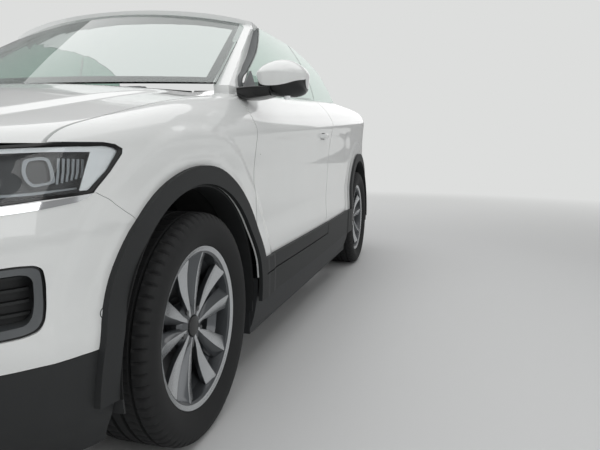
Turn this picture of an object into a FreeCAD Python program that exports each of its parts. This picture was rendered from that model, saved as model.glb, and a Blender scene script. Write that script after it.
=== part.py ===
import FreeCAD, Part
import Sketcher
import math
import os
import re
from collections import namedtuple

from FreeCAD import Vector as V

# Compact crossover convertible, two doors, four seats, roof folded.
# Frame: +Z up, front of the car towards -Y, the car's left towards +X,
# origin on the ground under the centre of the car. Lengths in mm, angles in degrees.

doc = FreeCAD.newDocument("convertible")

SIZES = (
    # whole car
    ("overall_length", 4268, "bumper to bumper"),
    ("overall_width", 1811, "across the arch cladding"),
    ("wheelbase", 2630, "front axle to rear axle"),
    ("front_overhang", 830, "nose to front axle"),
    ("front_track", 1546, "between the front wheel planes"),
    ("rear_track", 1541, "between the rear wheel planes"),
    ("ground_gap", 165, "underside of the floor above the ground"),
    # wheels
    ("tyre_radius", 334, "outside"),
    ("tyre_width", 218, "across the sidewalls"),
    ("tyre_tread", 176, "flat part of the tread"),
    ("rim_flange", 236, "radius of the rim's outer lip"),
    ("rim_bead", 218.5, "radius of the bead seat"),
    ("rim_well", 196, "radius of the well"),
    ("rim_width", 178, "between the outer faces of the lips"),
    ("rim_wall", 7, "thickness of the barrel"),
    ("rim_lip", 6, "thickness of the lips"),
    ("spoke_pairs", 5, "twin spokes"),
    ("hub_radius", 74, "wheel centre"),
    ("spoke_face", 62, "spoke face outboard of the wheel plane at the hub"),
    ("disc_radius", 156, "brake disc"),
    ("disc_thick", 24, "brake disc"),
    ("stub_radius", 22, "wheel spindle"),
    ("spin_gap", 0.05, "radial clearance of a spindle or a hinge pin"),
    ("seat_gap", 0.3, "clearance between fixed curved pieces"),
    ("steer_low_x", 720, "lower ball joint"),
    ("steer_low_z", 230, "lower ball joint"),
    ("steer_top_x", 570, "strut top mount"),
    ("steer_top_z", 830, "strut top mount"),
    ("strut_radius", 24, "strut tube"),
    ("strut_pin", 14, "strut rod in the tower"),
    ("ball_pin", 9, "lower ball joint"),
    ("tower_low", 843, "underside of the strut tower"),
    ("beam_back", 230, "rear axle beam before the rear wheel centre"),
    # skin and shut lines
    ("cladding_out", 14, "arch and sill cladding proud of the skin"),
    ("skin_wall", 6, "fenders, bumpers and quarter panels"),
    ("rail_drop", 26, "wing rail under the fender"),
    ("lid_wall", 22, "bonnet and boot lid with their inner frames"),
    ("door_skin", 12, "outer panel of a door"),
    ("door_depth", 128, "whole thickness of a door"),
    ("shut_gap", 8, "gap round a moving panel"),
    ("joint_gap", 0.8, "gap between fixed panels"),
    ("arch_inner", 415, "inner radius of the arch cladding"),
    ("arch_outer", 467, "outer radius of the arch cladding"),
    ("liner_wall", 4, "wheel arch liner"),
    ("sill_low", 300, "lower edge of the sill cladding"),
    ("liner_inner_x", 466, "inboard wall of a front wheel house"),
    # doors
    ("door_front", -865, "front edge of the door"),
    ("door_rear", 340, "rear edge of the door at the handle"),
    ("door_bottom", 392, "lower edge of the door"),
    ("door_axis_x", 862, "door hinge axis"),
    ("door_axis_y", -815, "door hinge axis"),
    ("hinge_pin", 6, "radius of a door hinge pin"),
    ("hinge_low", 560, "height of the lower door hinge"),
    ("hinge_high", 850, "height of the upper door hinge"),
    ("glass_thick", 5, "side glass"),
    # bonnet and boot lid
    ("bonnet_front", -2052, "front edge of the bonnet at the centre"),
    ("bonnet_rear", -1072, "rear edge of the bonnet at the centre"),
    ("bonnet_half", 778, "half width of the bonnet"),
    ("bonnet_axis_y", -900, "bonnet hinge axis"),
    ("bonnet_axis_z", 1000, "bonnet hinge axis"),
    ("boot_front", 1625, "front edge of the boot lid"),
    ("boot_half", 560, "half width of the boot lid"),
    ("boot_bottom", 770, "lower edge of the boot lid"),
    ("boot_axis_y", 1515, "boot lid hinge axis"),
    ("boot_axis_z", 1096, "boot lid hinge axis"),
    ("edge_gap", 14, "gap along the hinged edge of a lid"),
    ("lid_pin", 6, "radius of a lid hinge pin"),
    # cabin
    ("cabin_half", 640, "half width of the cabin floor"),
    ("floor_thick", 30, "floor panel with its ribs"),
    ("sill_width", 120, "box sill"),
    ("sill_top", 380, "top of the box sill"),
    ("firewall", -930, "front face of the bulkhead before the cabin"),
    ("rear_wall", 1010, "front face of the bulkhead behind the seats"),
    ("seat_x", 370, "seat centre from the middle of the car"),
    ("seat_width", 500, "front seat"),
    ("seat_front", -470, "front of the front seat cushion"),
    ("seat_back", 130, "rear of the front seat cushion"),
    ("seat_low", 300, "underside of the front seat cushion"),
    ("seat_top", 500, "top of the front seat cushion"),
    ("bench_front", 430, "front of the rear seat cushion"),
    ("bench_top", 510, "top of the rear seat cushion"),
    ("wheel_x", 370, "steering wheel centre"),
    ("wheel_y", -560, "steering wheel centre"),
    ("wheel_z", 860, "steering wheel centre"),
    ("wheel_tilt", 24, "steering column above the level"),
    ("wheel_ring", 177, "steering wheel, middle of the grip"),
    ("grip_radius", 15, "steering wheel grip"),
    ("column_pin", 10, "steering shaft"),
    ("stack_front", 1040, "front of the folded top"),
    ("stack_rear", 1488, "rear of the folded top"),
    ("stack_half", 620, "half width of the folded top's cover"),
    # underneath
    ("pipe_radius", 27, "exhaust pipe"),
    ("pipe_height", 205, "exhaust pipe above the ground"),
    ("silencer_round", 40, "silencer edges"),
    ("tank_round", 30, "fuel tank edges"),
    ("engine_round", 25, "engine block edges"),
)

sheet = doc.addObject("Spreadsheet::Sheet", "Sizes")
for row, (alias, value, note) in enumerate(SIZES, start=1):
    sheet.set(f"A{row}", alias)
    sheet.set(f"B{row}", str(value))
    sheet.setAlias(f"B{row}", alias)
    sheet.set(f"C{row}", note)
doc.recompute()

ALIASES = {alias for alias, value, note in SIZES}


def size(alias):
    return float(getattr(sheet, alias))


def formula(text):
    # A formula in sheet names, as the document reads it.
    return re.sub(r"[a-z_]{3,}", lambda word: f"Sizes.{word[0]}" if word[0] in ALIASES else word[0], str(text))


def bind(thing, **formulas):
    for name, text in formulas.items():
        thing.setExpression(name.replace("__", "."), formula(text))
    return thing


# Basic solids bound to the sheet

def place(thing, x=0, y=0, z=0):
    return bind(thing, Placement__Base__x=x, Placement__Base__y=y, Placement__Base__z=z)


def block(name, x, y, z):
    # A box between two formulas along each axis.
    made = doc.addObject("Part::Box", name)
    bind(made, Length=f"({x[1]}) - ({x[0]})", Width=f"({y[1]}) - ({y[0]})", Height=f"({z[1]}) - ({z[0]})")
    return place(made, x[0], y[0], z[0])


def rod(name, radius, length, start, axis):
    # A round bar along an axis from its start point.
    made = doc.addObject("Part::Cylinder", name)
    bind(made, Radius=radius, Height=length)
    made.Placement.Rotation = FreeCAD.Rotation(V(0, 0, 1), axis)
    return place(made, *start)


def joined(name, pieces):
    made = doc.addObject("Part::MultiFuse", name)
    made.Shapes = pieces
    return made


def cut(name, base, tools):
    made = doc.addObject("Part::Cut", name)
    made.Base = base
    made.Tool = tools[0] if len(tools) == 1 else joined(f"{name}_tools", tools)
    return made


def common(name, one, other):
    made = doc.addObject("Part::Common", name)
    made.Base = one
    made.Tool = other
    return made


def grouped(name, pieces):
    made = doc.addObject("Part::Compound", name)
    made.Links = pieces
    return made


def reflected(name, thing):
    # The same solid on the other side of the car.
    made = doc.addObject("Part::Mirroring", name)
    made.Source = thing
    made.Normal = V(1, 0, 0)
    return made


# Bodies made from sketches whose corners are bound to the sheet

def plane_of(body, role):
    return [plane for plane in body.Origin.OriginFeatures if plane.Role == role][0]


def outline(body, name, role, points, height=0):
    # A closed outline of straight edges, each corner held by two formulas.
    made = body.newObject("Sketcher::SketchObject", name)
    made.AttachmentSupport = [(plane_of(body, role), "")]
    made.MapMode = "FlatFace"
    bind(made, AttachmentOffset__Base__z=height)
    corners = [V(*(float(sheet.evalExpression(formula(text))) for text in point), 0) for point in points]
    following = corners[1:] + corners[:1]
    made.addGeometry([Part.LineSegment(a, b) for a, b in zip(corners, following)], False)
    count = len(corners)
    made.addConstraint([Sketcher.Constraint("Coincident", n, 2, (n + 1) % count, 1) for n in range(count)])
    for n, (corner, point) in enumerate(zip(corners, points)):
        for kind, value, text in (("DistanceX", corner.x, point[0]), ("DistanceY", corner.y, point[1])):
            number = made.addConstraint(Sketcher.Constraint(kind, -1, 1, n, 1, value))
            made.setExpression(f"Constraints[{number}]", formula(text))
    return made


def pressed(name, role, points, low, high, rounding=None):
    # An outline pressed between two distances from its plane, its long edges rounded where asked.
    body = doc.addObject("PartDesign::Body", name)
    pad = body.newObject("PartDesign::Pad", f"{name}Pad")
    pad.Profile = outline(body, f"{name}Outline", role, points, low)
    bind(pad, Length=f"({high}) - ({low})")
    if rounding:
        doc.recompute()
        along = [n for n, edge in enumerate(pad.Shape.Edges, start=1) if abs(edge.Length - pad.Length.Value) < 0.01]
        fillet = body.newObject("PartDesign::Fillet", f"{name}Round")
        fillet.Base = (pad, [f"Edge{n}" for n in along])
        bind(fillet, Radius=rounding)
    return body


def feature(name, shape):
    made = doc.addObject("Part::Feature", name)
    made.Shape = shape
    return made


NODES = []


def node(label, thing):
    thing.Label = label
    NODES.append(thing)
    return thing


SIDES = (("left", 1), ("right", -1))
ALONG = V(1, 0, 0)
REARWARD = V(0, 1, 0)
UP = V(0, 0, 1)
front_axle = -size("overall_length") / 2 + size("front_overhang")
rear_axle = front_axle + size("wheelbase")
half_length = size("overall_length") / 2
skin_half = size("overall_width") / 2 - size("cladding_out")

# The painted skin is one closed form: level outlines of eight tangent arcs, lofted upwards,
# and under it a crowned top. Panels are cut from the shell between two such forms.

Level = namedtuple("Level", "height rise inset nose corner tail tail_corner")
LEVELS = (
    #     height  rise  inset  nose  corner  tail  tail_corner
    Level(-60, 0.000, 46, 120, 380, 110, 380),
    Level(165, 0.000, 46, 120, 380, 110, 380),
    Level(300, 0.000, 6, 34, 400, 28, 400),
    Level(440, 0.000, 2, 4, 400, 4, 400),
    Level(600, 0.010, 16, 0, 400, 0, 410),
    Level(780, 0.030, 18, 24, 410, 14, 420),
    Level(900, 0.050, 7, 74, 430, 38, 430),
    Level(945, 0.050, 2, 99, 430, 46, 430),
    Level(1000, 0.050, 23, 139, 440, 54, 440),
    Level(1050, 0.050, 63, 184, 440, 64, 440),
    Level(1095, 0.050, 111, 244, 440, 79, 440),
    Level(1150, 0.050, 190, 340, 440, 110, 440),
    Level(1250, 0.050, 360, 560, 440, 190, 440),
)
SIDE_SWEEP = 42000.0
NOSE_SWEEP = 1900.0
TAIL_SWEEP = 2600.0
DEPTH = -120.0
DEEPEST = -59.0

Crown = namedtuple("Crown", "y centre edge")
CROWNS = (
    #       y  centre  edge    heights in the middle and at the far sides
    Crown(-2300, 740, 600),
    Crown(-2080, 845, 735),
    Crown(-1900, 915, 822),
    Crown(-1600, 972, 897),
    Crown(-1300, 1028, 953),
    Crown(-1000, 1072, 988),
    Crown(-700, 1086, 1040),
    Crown(0, 1116, 1076),
    Crown(900, 1158, 1118),
    Crown(1500, 1150, 1106),
    Crown(2000, 1112, 1056),
    Crown(2300, 1060, 990),
)
CROWN_HALF = 1000.0


def corner_arc(half, end_y, end_sweep, radius, facing):
    # Centre and the two tangent points of the arc that joins the side to the nose or tail.
    side = V(half - SIDE_SWEEP, 0, 0)
    end = V(0, end_y - facing * end_sweep, 0)
    reach_side = SIDE_SWEEP - radius
    reach_end = end_sweep - radius
    apart = (end - side).Length
    along = (reach_side ** 2 - reach_end ** 2 + apart ** 2) / (2 * apart)
    across = math.sqrt(reach_side ** 2 - along ** 2)
    forward = (end - side) * (1 / apart)
    sideways = V(-forward.y, forward.x, 0) * facing
    centre = side + forward * along + sideways * across
    on_side = centre + (centre - side).normalize() * radius
    on_end = centre + (centre - end).normalize() * radius
    middle = centre + ((on_side - centre) + (on_end - centre)).normalize() * radius
    return on_side, middle, on_end


def level_wire(level, inward):
    half = skin_half - level.inset - inward
    nose_y = -half_length + level.nose + inward
    tail_y = half_length - level.tail - inward
    front = corner_arc(half, nose_y, NOSE_SWEEP, level.corner - inward, -1)
    rear = corner_arc(half, tail_y, TAIL_SWEEP, level.tail_corner - inward, 1)

    def lifted(point, side=1):
        return V(side * point.x, point.y, level.height + level.rise * point.y)

    spans = (
        (lifted(front[2], -1), lifted(V(0, nose_y, 0)), lifted(front[2])),
        (lifted(front[2]), lifted(front[1]), lifted(front[0])),
        (lifted(front[0]), lifted(V(half, 0, 0)), lifted(rear[0])),
        (lifted(rear[0]), lifted(rear[1]), lifted(rear[2])),
        (lifted(rear[2]), lifted(V(0, tail_y, 0)), lifted(rear[2], -1)),
        (lifted(rear[2], -1), lifted(rear[1], -1), lifted(rear[0], -1)),
        (lifted(rear[0], -1), lifted(V(half, 0, 0), -1), lifted(front[0], -1)),
        (lifted(front[0], -1), lifted(front[1], -1), lifted(front[2], -1)),
    )
    return Part.Wire([Part.Arc(*span).toShape() for span in spans])


def crown_wire(crown, drop):
    low = V(0, crown.y, DEPTH)
    left = V(CROWN_HALF, crown.y, crown.edge - drop)
    right = V(-CROWN_HALF, crown.y, crown.edge - drop)
    top = V(0, crown.y, crown.centre - drop)
    foot_left = V(CROWN_HALF, low.y, low.z)
    foot_right = V(-CROWN_HALF, low.y, low.z)
    return Part.Wire([
        Part.Arc(right, top, left).toShape(),
        Part.LineSegment(left, foot_left).toShape(),
        Part.LineSegment(foot_left, foot_right).toShape(),
        Part.LineSegment(foot_right, right).toShape(),
    ])


FORMS = {}


def body_form(inward):
    # The closed form, reaching below the ground, its skin moved inward by a wall.
    if inward not in FORMS:
        sides = Part.makeLoft([level_wire(level, inward) for level in LEVELS], True, False)
        top = Part.makeLoft([crown_wire(crown, inward) for crown in CROWNS], True, False)
        FORMS[inward] = sides.common(top)
    return FORMS[inward]


def shell_between(outward, inward):
    # The wall between two such forms, closed below the ground by a flat ring.
    outer = body_form(outward)
    inner = body_form(inward)
    outer_low = [face for face in outer.Faces if face.BoundBox.ZMax < DEEPEST]
    inner_low = [face for face in inner.Faces if face.BoundBox.ZMax < DEEPEST]
    outer_skin = [face for face in outer.Faces if face.BoundBox.ZMax >= DEEPEST]
    inner_skin = [face.reversed() for face in inner.Faces if face.BoundBox.ZMax >= DEEPEST]
    ring = outer_low[0].cut(inner_low[0])
    shell = Part.Shell(outer_skin + inner_skin + ring.Faces)
    shell.sewShape()
    return Part.Solid(shell)


SHELLS = {}


def skin(depth):
    if depth not in SHELLS:
        SHELLS[depth] = shell_between(0, depth)
    return SHELLS[depth]


# Prisms that cut panels out of a shell

FAR = 1200.0


def prism(points, depth):
    return Part.Face(Part.makePolygon(points + points[:1])).extrude(depth)


def side_prism(outline, inner=0.0, outer=FAR):
    # From a side view outline of (y, z), on the left of the car.
    return prism([V(inner, y, z) for y, z in outline], V(outer - inner, 0, 0))


def front_prism(outline, first, last):
    # From a front view outline of (x, z).
    return prism([V(x, first, z) for x, z in outline], V(0, last - first, 0))


def top_prism(outline, low, high):
    # From a plan outline of (x, y).
    return prism([V(x, y, low) for x, y in outline], V(0, 0, high - low))


def slab(x, y, z):
    return Part.makeBox(x[1] - x[0], y[1] - y[0], z[1] - z[0], V(x[0], y[0], z[0]))


def mirrored(shape):
    return shape.mirror(V(0, 0, 0), V(1, 0, 0))


def both(shape):
    return Part.makeCompound([shape, mirrored(shape)])


def turned(x, y, z, radius, length):
    # A round bar along X.
    return Part.makeCylinder(radius, length, V(x, y, z), V(1, 0, 0))


axle_height = size("tyre_radius")
gap = size("shut_gap")
join = size("joint_gap")
wall = size("skin_wall")
FAR_FRONT = -half_length - 100
FAR_REAR = half_length + 100

panel_shell = skin(wall)
lid_shell = skin(size("lid_wall"))
bumper_shell = skin(wall * 2)
INNER_FRAME = 60.0
inner_frame_shell = skin(INNER_FRAME)
cladding_shell = shell_between(-size("cladding_out"), -size("seat_gap"))


def arch_cylinder(axle, radius, inner, outer=FAR):
    return turned(inner, axle, axle_height, radius, outer - inner)


# Shut lines

door_front = size("door_front")
door_bottom = size("door_bottom")
door_rear = size("door_rear")
DOOR_TOP = 1300.0
door_edges = (
    (door_front, door_bottom),
    (door_front, DOOR_TOP),
    (door_rear + 16, DOOR_TOP),
    (door_rear + 8, 1010),
    (door_rear, 920),
    (door_rear - 36, 790),
    (door_rear - 117, 572),
    (door_rear - 176, door_bottom),
)


def grown(outline, amount):
    # The outline moved outwards on all sides, about its own corners.
    face = Part.Face(Part.makePolygon([V(0, y, z) for y, z in outline + outline[:1]]))
    wire = face.makeOffset2D(amount, 2).OuterWire
    return [(vertex.Y, vertex.Z) for vertex in wire.OrderedVertexes]


LAMP_TOP = 860.0
LAMP_LOW = 752.0
LAMP_BACK = -1652.0
bonnet_half = size("bonnet_half")
bonnet_rear = size("bonnet_rear")
BONNET_CORNER = -968.0
bonnet_edges = [
    (bonnet_half - 12, BONNET_CORNER),
    (bonnet_half, -1125),
    (bonnet_half + 3, -1510),
    (bonnet_half + 2, -1664),
    (bonnet_half - 8, -1880),
    (bonnet_half - 8, FAR_FRONT),
]


def bonnet_prism(extra):
    # The bonnet's plan with its rear edge bowed forward, and only what lies above the lamps.
    side = [(x + extra, y) for x, y in bonnet_edges]
    rear = Part.Arc(
        V(-side[0][0], side[0][1] + extra, LAMP_TOP - extra),
        V(0, bonnet_rear + extra, LAMP_TOP - extra),
        V(side[0][0], side[0][1] + extra, LAMP_TOP - extra),
    ).toShape()
    left = [V(side[0][0], side[0][1] + extra, LAMP_TOP - extra)]
    left += [V(x, y, LAMP_TOP - extra) for x, y in side[1:]]
    right = [V(-point.x, point.y, point.z) for point in reversed(left)]
    edges = Part.Wire([rear] + Part.makePolygon(left + right).Edges)
    return Part.Face(edges).extrude(V(0, 0, 500))


# Painted panels

bonnet_panel = lid_shell.common(bonnet_prism(0))

front_arch = arch_cylinder(front_axle, size("arch_inner"), 300)
rear_arch = arch_cylinder(rear_axle, size("arch_inner"), 300)
front_door_line = door_front - gap
fender_region = side_prism([
    (front_door_line, door_bottom - gap),
    (front_door_line, 1300),
    (LAMP_BACK - 90, 1300),
    (LAMP_BACK - 400, LAMP_TOP + join),
    (LAMP_BACK, LAMP_TOP + join),
    (LAMP_BACK + 2 * join, 843),
    (-1754 + 2 * join, LAMP_LOW + 6),
    (-1690, 640),
    (-1690, door_bottom - gap),
])
fender = panel_shell.common(fender_region)
fender = fender.cut(bonnet_prism(gap))
fender = fender.cut(front_arch)
fender = fender.cut(slab((0, 690), (-1300, 0), (600, 1300)))

headlamp_front = front_prism([
    (480, LAMP_LOW - 10),
    (480, LAMP_TOP - join),
    (700, LAMP_TOP - join),
    (FAR, LAMP_TOP - join),
    (FAR, LAMP_LOW),
    (848, LAMP_LOW + 2),
], FAR_FRONT, -1500)
headlamp_side = side_prism([
    (FAR_FRONT, LAMP_LOW - 30),
    (FAR_FRONT, LAMP_TOP),
    (LAMP_BACK, LAMP_TOP),
    (LAMP_BACK, 843),
    (-1754, LAMP_LOW + 6),
    (-1760, LAMP_LOW - 30),
])
headlamp = skin(90).common(headlamp_front).common(headlamp_side)

BUMPER_LOW = 430.0
VALANCE_LOW = 185.0
FOG = ((590, 540), (590, 655), (800, 672), (835, 650), (835, 540), (800, 520))
fog_hole = front_prism([(x, z) for x, z in FOG], FAR_FRONT, -1780)
bumper_side = side_prism([
    (FAR_FRONT, BUMPER_LOW),
    (FAR_FRONT, LAMP_LOW - 12),
    (-1762, LAMP_LOW - 12),
    (-1756, LAMP_LOW - 2),
    (-1692, 640),
    (-1692, BUMPER_LOW),
], -FAR, FAR)
GRILLE_HALF = 478.0
lower_grille_hole = front_prism([(-430, 300), (-430, 470), (430, 470), (430, 300)], FAR_FRONT, -1900)
bumper = bumper_shell.common(bumper_side)
bumper = bumper.cut(fog_hole).cut(mirrored(fog_hole))
bumper = bumper.cut(front_arch).cut(mirrored(front_arch)).cut(lower_grille_hole)
fog_frame = inner_frame_shell.common(front_prism(
    [(x + (3 if x < 700 else -3), z + (3 if z < 600 else -3)) for x, z in FOG], FAR_FRONT, -1780))
fog_frame = fog_frame.cut(front_prism([(620, 566), (620, 632), (790, 640), (805, 630), (805, 566)], FAR_FRONT, -1650)
                          .common(skin(35)))
valance_side = side_prism([
    (FAR_FRONT, VALANCE_LOW),
    (FAR_FRONT, BUMPER_LOW - join),
    (-1690, BUMPER_LOW - join),
    (-1690, VALANCE_LOW),
], -FAR, FAR)
valance = bumper_shell.common(valance_side)
valance = valance.cut(front_arch).cut(mirrored(front_arch)).cut(lower_grille_hole)

# Grilles: a frame behind the skin with level slats.


def slatted(outline, low, high, count, half, depth, back):
    frame = skin(depth).common(outline)
    pitch = (high - low) / (count + 1)
    slats = [
        slab((-half, half), (FAR_FRONT, back), (low + pitch * (n + 1) - 5, low + pitch * (n + 1) + 5))
        for n in range(count)
    ]
    opened = frame.cut(slab((-half + 12, half - 12), (FAR_FRONT, back), (low + 10, high - 10)))
    bars = skin(depth).common(Part.makeCompound(slats))
    return opened.fuse(bars.Solids).removeSplitter()


upper_grille = slatted(
    front_prism([(-GRILLE_HALF, LAMP_LOW - 9), (-GRILLE_HALF, LAMP_TOP - join), (GRILLE_HALF, LAMP_TOP - join),
                 (GRILLE_HALF, LAMP_LOW - 9)], FAR_FRONT, -1850),
    LAMP_LOW - 9, LAMP_TOP - join, 3, GRILLE_HALF, 35, -1900)
lower_grille = slatted(
    front_prism([(-429.7, 300.3), (-429.7, 469.7), (429.7, 469.7), (429.7, 300.3)], FAR_FRONT, -1900),
    300.3, 469.7, 3, 429.7, 30, -1900)

# Rear quarter: from the door to the tail lamps, over the rear arch

TAIL_LAMP_LOW = 850.0
TAIL_LAMP_TOP = 985.0
TAIL_LAMP_FRONT = 1850.0
REAR_BUMPER_TOP = 740.0
rear_door_outline = [(y + gap, z) for y, z in door_edges[2:]]
DECK_LINE = 700.0
QUARTER_INNER = 500.0
quarter_region = side_prism(rear_door_outline + [
    (1790, door_bottom),
    (1790, REAR_BUMPER_TOP),
    (FAR_REAR, REAR_BUMPER_TOP),
    (FAR_REAR, 1300),
], QUARTER_INNER)
quarter = panel_shell.common(quarter_region)
boot_half = size("boot_half")
boot_front = size("boot_front")
deck_end = boot_front - size("edge_gap")
quarter = quarter.cut(slab((0, DECK_LINE), (0, deck_end + join), (600, 1300)))
quarter = quarter.cut(slab((0, boot_half + gap), (1500, FAR_REAR), (600, 1300)))
tail_lamp_region = side_prism([
    (TAIL_LAMP_FRONT, TAIL_LAMP_LOW + 40),
    (TAIL_LAMP_FRONT + 30, TAIL_LAMP_TOP),
    (FAR_REAR, TAIL_LAMP_TOP),
    (FAR_REAR, TAIL_LAMP_LOW),
    (TAIL_LAMP_FRONT + 60, TAIL_LAMP_LOW),
], boot_half + gap)
tail_lamp_hole = side_prism([
    (TAIL_LAMP_FRONT - join, TAIL_LAMP_LOW + 40),
    (TAIL_LAMP_FRONT + 30 - join, TAIL_LAMP_TOP + join),
    (FAR_REAR, TAIL_LAMP_TOP + join),
    (FAR_REAR, TAIL_LAMP_LOW - join),
    (TAIL_LAMP_FRONT + 60 - join, TAIL_LAMP_LOW - join),
], 0)
quarter = quarter.cut(tail_lamp_hole).cut(rear_arch)
tail_lamp = inner_frame_shell.common(tail_lamp_region)

rear_bumper_side = side_prism([
    (1792, BUMPER_LOW),
    (1792, REAR_BUMPER_TOP - join),
    (FAR_REAR, REAR_BUMPER_TOP - join),
    (FAR_REAR, BUMPER_LOW),
], -FAR, FAR)
rear_bumper = bumper_shell.common(rear_bumper_side)
rear_bumper = rear_bumper.cut(rear_arch).cut(mirrored(rear_arch))
rear_valance_side = side_prism([
    (1792, VALANCE_LOW + 40),
    (1792, BUMPER_LOW - join),
    (FAR_REAR, BUMPER_LOW - join),
    (FAR_REAR, VALANCE_LOW + 40),
], -FAR, FAR)
rear_valance = bumper_shell.common(rear_valance_side)
rear_valance = rear_valance.cut(rear_arch).cut(mirrored(rear_arch))

boot_region = slab((-boot_half, boot_half), (boot_front, FAR_REAR), (size("boot_bottom"), 1300))
boot_panel = lid_shell.common(boot_region)
DECK_FRONT = 1020.0
deck_region = slab((-DECK_LINE + join, DECK_LINE - join), (DECK_FRONT, deck_end), (1000, 1300))
rear_deck = lid_shell.common(deck_region)
stack_side = size("stack_half") + size("seat_gap")
stack_hole = slab((-stack_side, stack_side), (DECK_FRONT - 40, size("stack_rear") + size("seat_gap")), (900, 1300))
rear_deck = rear_deck.cut(stack_hole)

# Cladding: rings round the arches and a band along the sills

inner_half = skin_half - 120
sill_low = size("sill_low")


def arch_ring(axle):
    ring = arch_cylinder(axle, size("arch_outer"), inner_half).cut(
        arch_cylinder(axle, size("arch_inner"), inner_half))
    return ring.cut(slab((0, FAR), (axle - 600, axle + 600), (-300, sill_low)))


front_ring_end = front_axle + size("arch_inner")
rear_ring_end = rear_axle - size("arch_inner")
sill_band = slab((inner_half, FAR), (front_ring_end, rear_ring_end), (sill_low, door_bottom - gap))
sill_band = sill_band.cut(arch_cylinder(front_axle, size("arch_inner"), 0))
sill_band = sill_band.cut(arch_cylinder(rear_axle, size("arch_inner"), 0))
fender_step = slab((inner_half, FAR), (front_axle, front_door_line), (sill_low, 440)).cut(
    arch_cylinder(front_axle, size("arch_outer") - 1, 0))
rear_step = slab((inner_half, FAR), (door_rear - 176 + gap, rear_axle), (sill_low, 440)).cut(
    arch_cylinder(rear_axle, size("arch_outer") - 1, 0))
band = arch_ring(front_axle).fuse([arch_ring(rear_axle), sill_band, fender_step, rear_step])
door_clear = side_prism(grown(list(door_edges), gap))
cladding = cladding_shell.common(band).cut(door_clear)
DOOR_TRIM_TOP = 448.0
door_trim = cladding_shell.common(
    side_prism([(y, z) for y, z in (
        (door_front, door_bottom), (door_front, DOOR_TRIM_TOP), (door_rear - 155, DOOR_TRIM_TOP),
        (door_rear - 176, door_bottom))]))


# Doors: an outer skin, and an inner box set back behind the windscreen pillar and the lock pillar

BOX_INSET = 25.0
box_edges = (
    (-790, door_bottom + 14),
    (-790, 900),
    (-745, 1000),
    (-700, DOOR_TOP),
    (door_rear - 10, DOOR_TOP),
    (door_rear - 20, 1000),
    (door_rear - BOX_INSET, 920),
    (door_rear - 36 - BOX_INSET, 790),
    (door_rear - 117 - BOX_INSET, 572),
    (door_rear - 176 - BOX_INSET, door_bottom + 14),
)
door_skin = skin(size("door_skin")).common(side_prism(list(door_edges), 690))
door_skin = door_skin.cut(slab((0, 792), (-900, -745), (990, 1300)))
door_box = skin(size("door_depth")).common(side_prism(list(box_edges), 690))
door = door_skin.fuse(door_box)
hinge_x = size("door_axis_x")
hinge_y = size("door_axis_y")
pin = size("hinge_pin")
LUG = 12.0
KNUCKLE = 28.0
LUG_RADIUS = 12.0
STACK_GAP = 0.3
hinge_heights = (size("hinge_low"), size("hinge_high"))
for height in hinge_heights:
    low = height - KNUCKLE / 2
    leaf = slab((hinge_x - 26, hinge_x - 2), (hinge_y, hinge_y + 40), (low, low + KNUCKLE))
    eye = Part.makeCylinder(LUG_RADIUS, KNUCKLE, V(hinge_x, hinge_y, low))
    bore = Part.makeCylinder(pin + size("spin_gap"), KNUCKLE + 2, V(hinge_x, hinge_y, low - 1))
    leaf = leaf.cut(Part.makeCylinder(LUG_RADIUS - 2, KNUCKLE + 2, V(hinge_x, hinge_y, low - 1)))
    room_low = low - 1.5 * LUG
    room_high = room_low + KNUCKLE + 3 * LUG
    door = door.cut(Part.makeCylinder(LUG_RADIUS + 8, room_high - room_low, V(hinge_x, hinge_y, room_low)))
    door = door.cut(slab((780, hinge_x + 3), (door_front - 1, hinge_y), (room_low, room_high)))
    door = door.fuse([eye.cut(bore), leaf.cut(bore)])


def door_hinge(height):
    # The pillar's half of a hinge: two lugs and the pin between them.
    low = height - KNUCKLE / 2 - STACK_GAP - LUG
    high = height + KNUCKLE / 2 + STACK_GAP
    pieces = [Part.makeCylinder(pin, high + LUG - low, V(hinge_x, hinge_y, low))]
    for start in (low, high):
        arm = slab((780, hinge_x), (hinge_y - 7, hinge_y + 7), (start, start + LUG))
        pieces += [arm, Part.makeCylinder(LUG_RADIUS, LUG, V(hinge_x, hinge_y, start))]
    return pieces[0].fuse(pieces[1:])


# Glass and windscreen

glass = size("glass_thick")
GLASS_FOOT = (792, 1030)
GLASS_WAIST = (742, 1230)
GLASS_HEAD = (648, 1402)


def side_glass(outline):
    # A pane bowed about a long axis, leaning in towards the top.
    def bowed(shift):
        foot, waist, head = (V(x + shift, -1200, z) for x, z in (GLASS_FOOT, GLASS_WAIST, GLASS_HEAD))
        return Part.Arc(foot, waist, head).toShape()

    outer = bowed(0)
    inner = bowed(-glass)
    ends = [Part.LineSegment(outer.Vertexes[n].Point, inner.Vertexes[n].Point).toShape() for n in (0, 1)]
    pane = Part.Face(Part.Wire(Part.__sortEdges__([outer, inner] + ends))).extrude(V(0, 2400, 0))
    return pane.common(side_prism(list(outline))).cut(body_form(-size("seat_gap")))


door_glass = side_glass((
    (-716, 1030), (-716, 1080), (-150, 1396), (60, 1401), (268, 1401), (335, 1240), (348, 1030)))
quarter_glass = side_glass((
    (356, 1030), (343, 1240), (276, 1401), (373, 1394), (560, 1358), (713, 1310), (884, 1134), (884, 1030)))


def section(points):
    return Part.makePolygon(points + points[:1])


PILLAR_FOOT = ((776, -860), (776, -768), (716, -768), (726, -872))
PILLAR_BEND = ((771, -855), (771, -762), (712, -762), (718, -868))
PILLAR_HEAD = ((640, -262), (628, -192), (590, -200), (592, -290))
pillar_levels = ((PILLAR_FOOT, size("bonnet_axis_z") - 15 + size("seat_gap")), (PILLAR_BEND, 1069), (PILLAR_HEAD, 1400))
pillar = Part.makeLoft([section([V(x, y, z) for x, y in plan]) for plan, z in pillar_levels], True, True)


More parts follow.
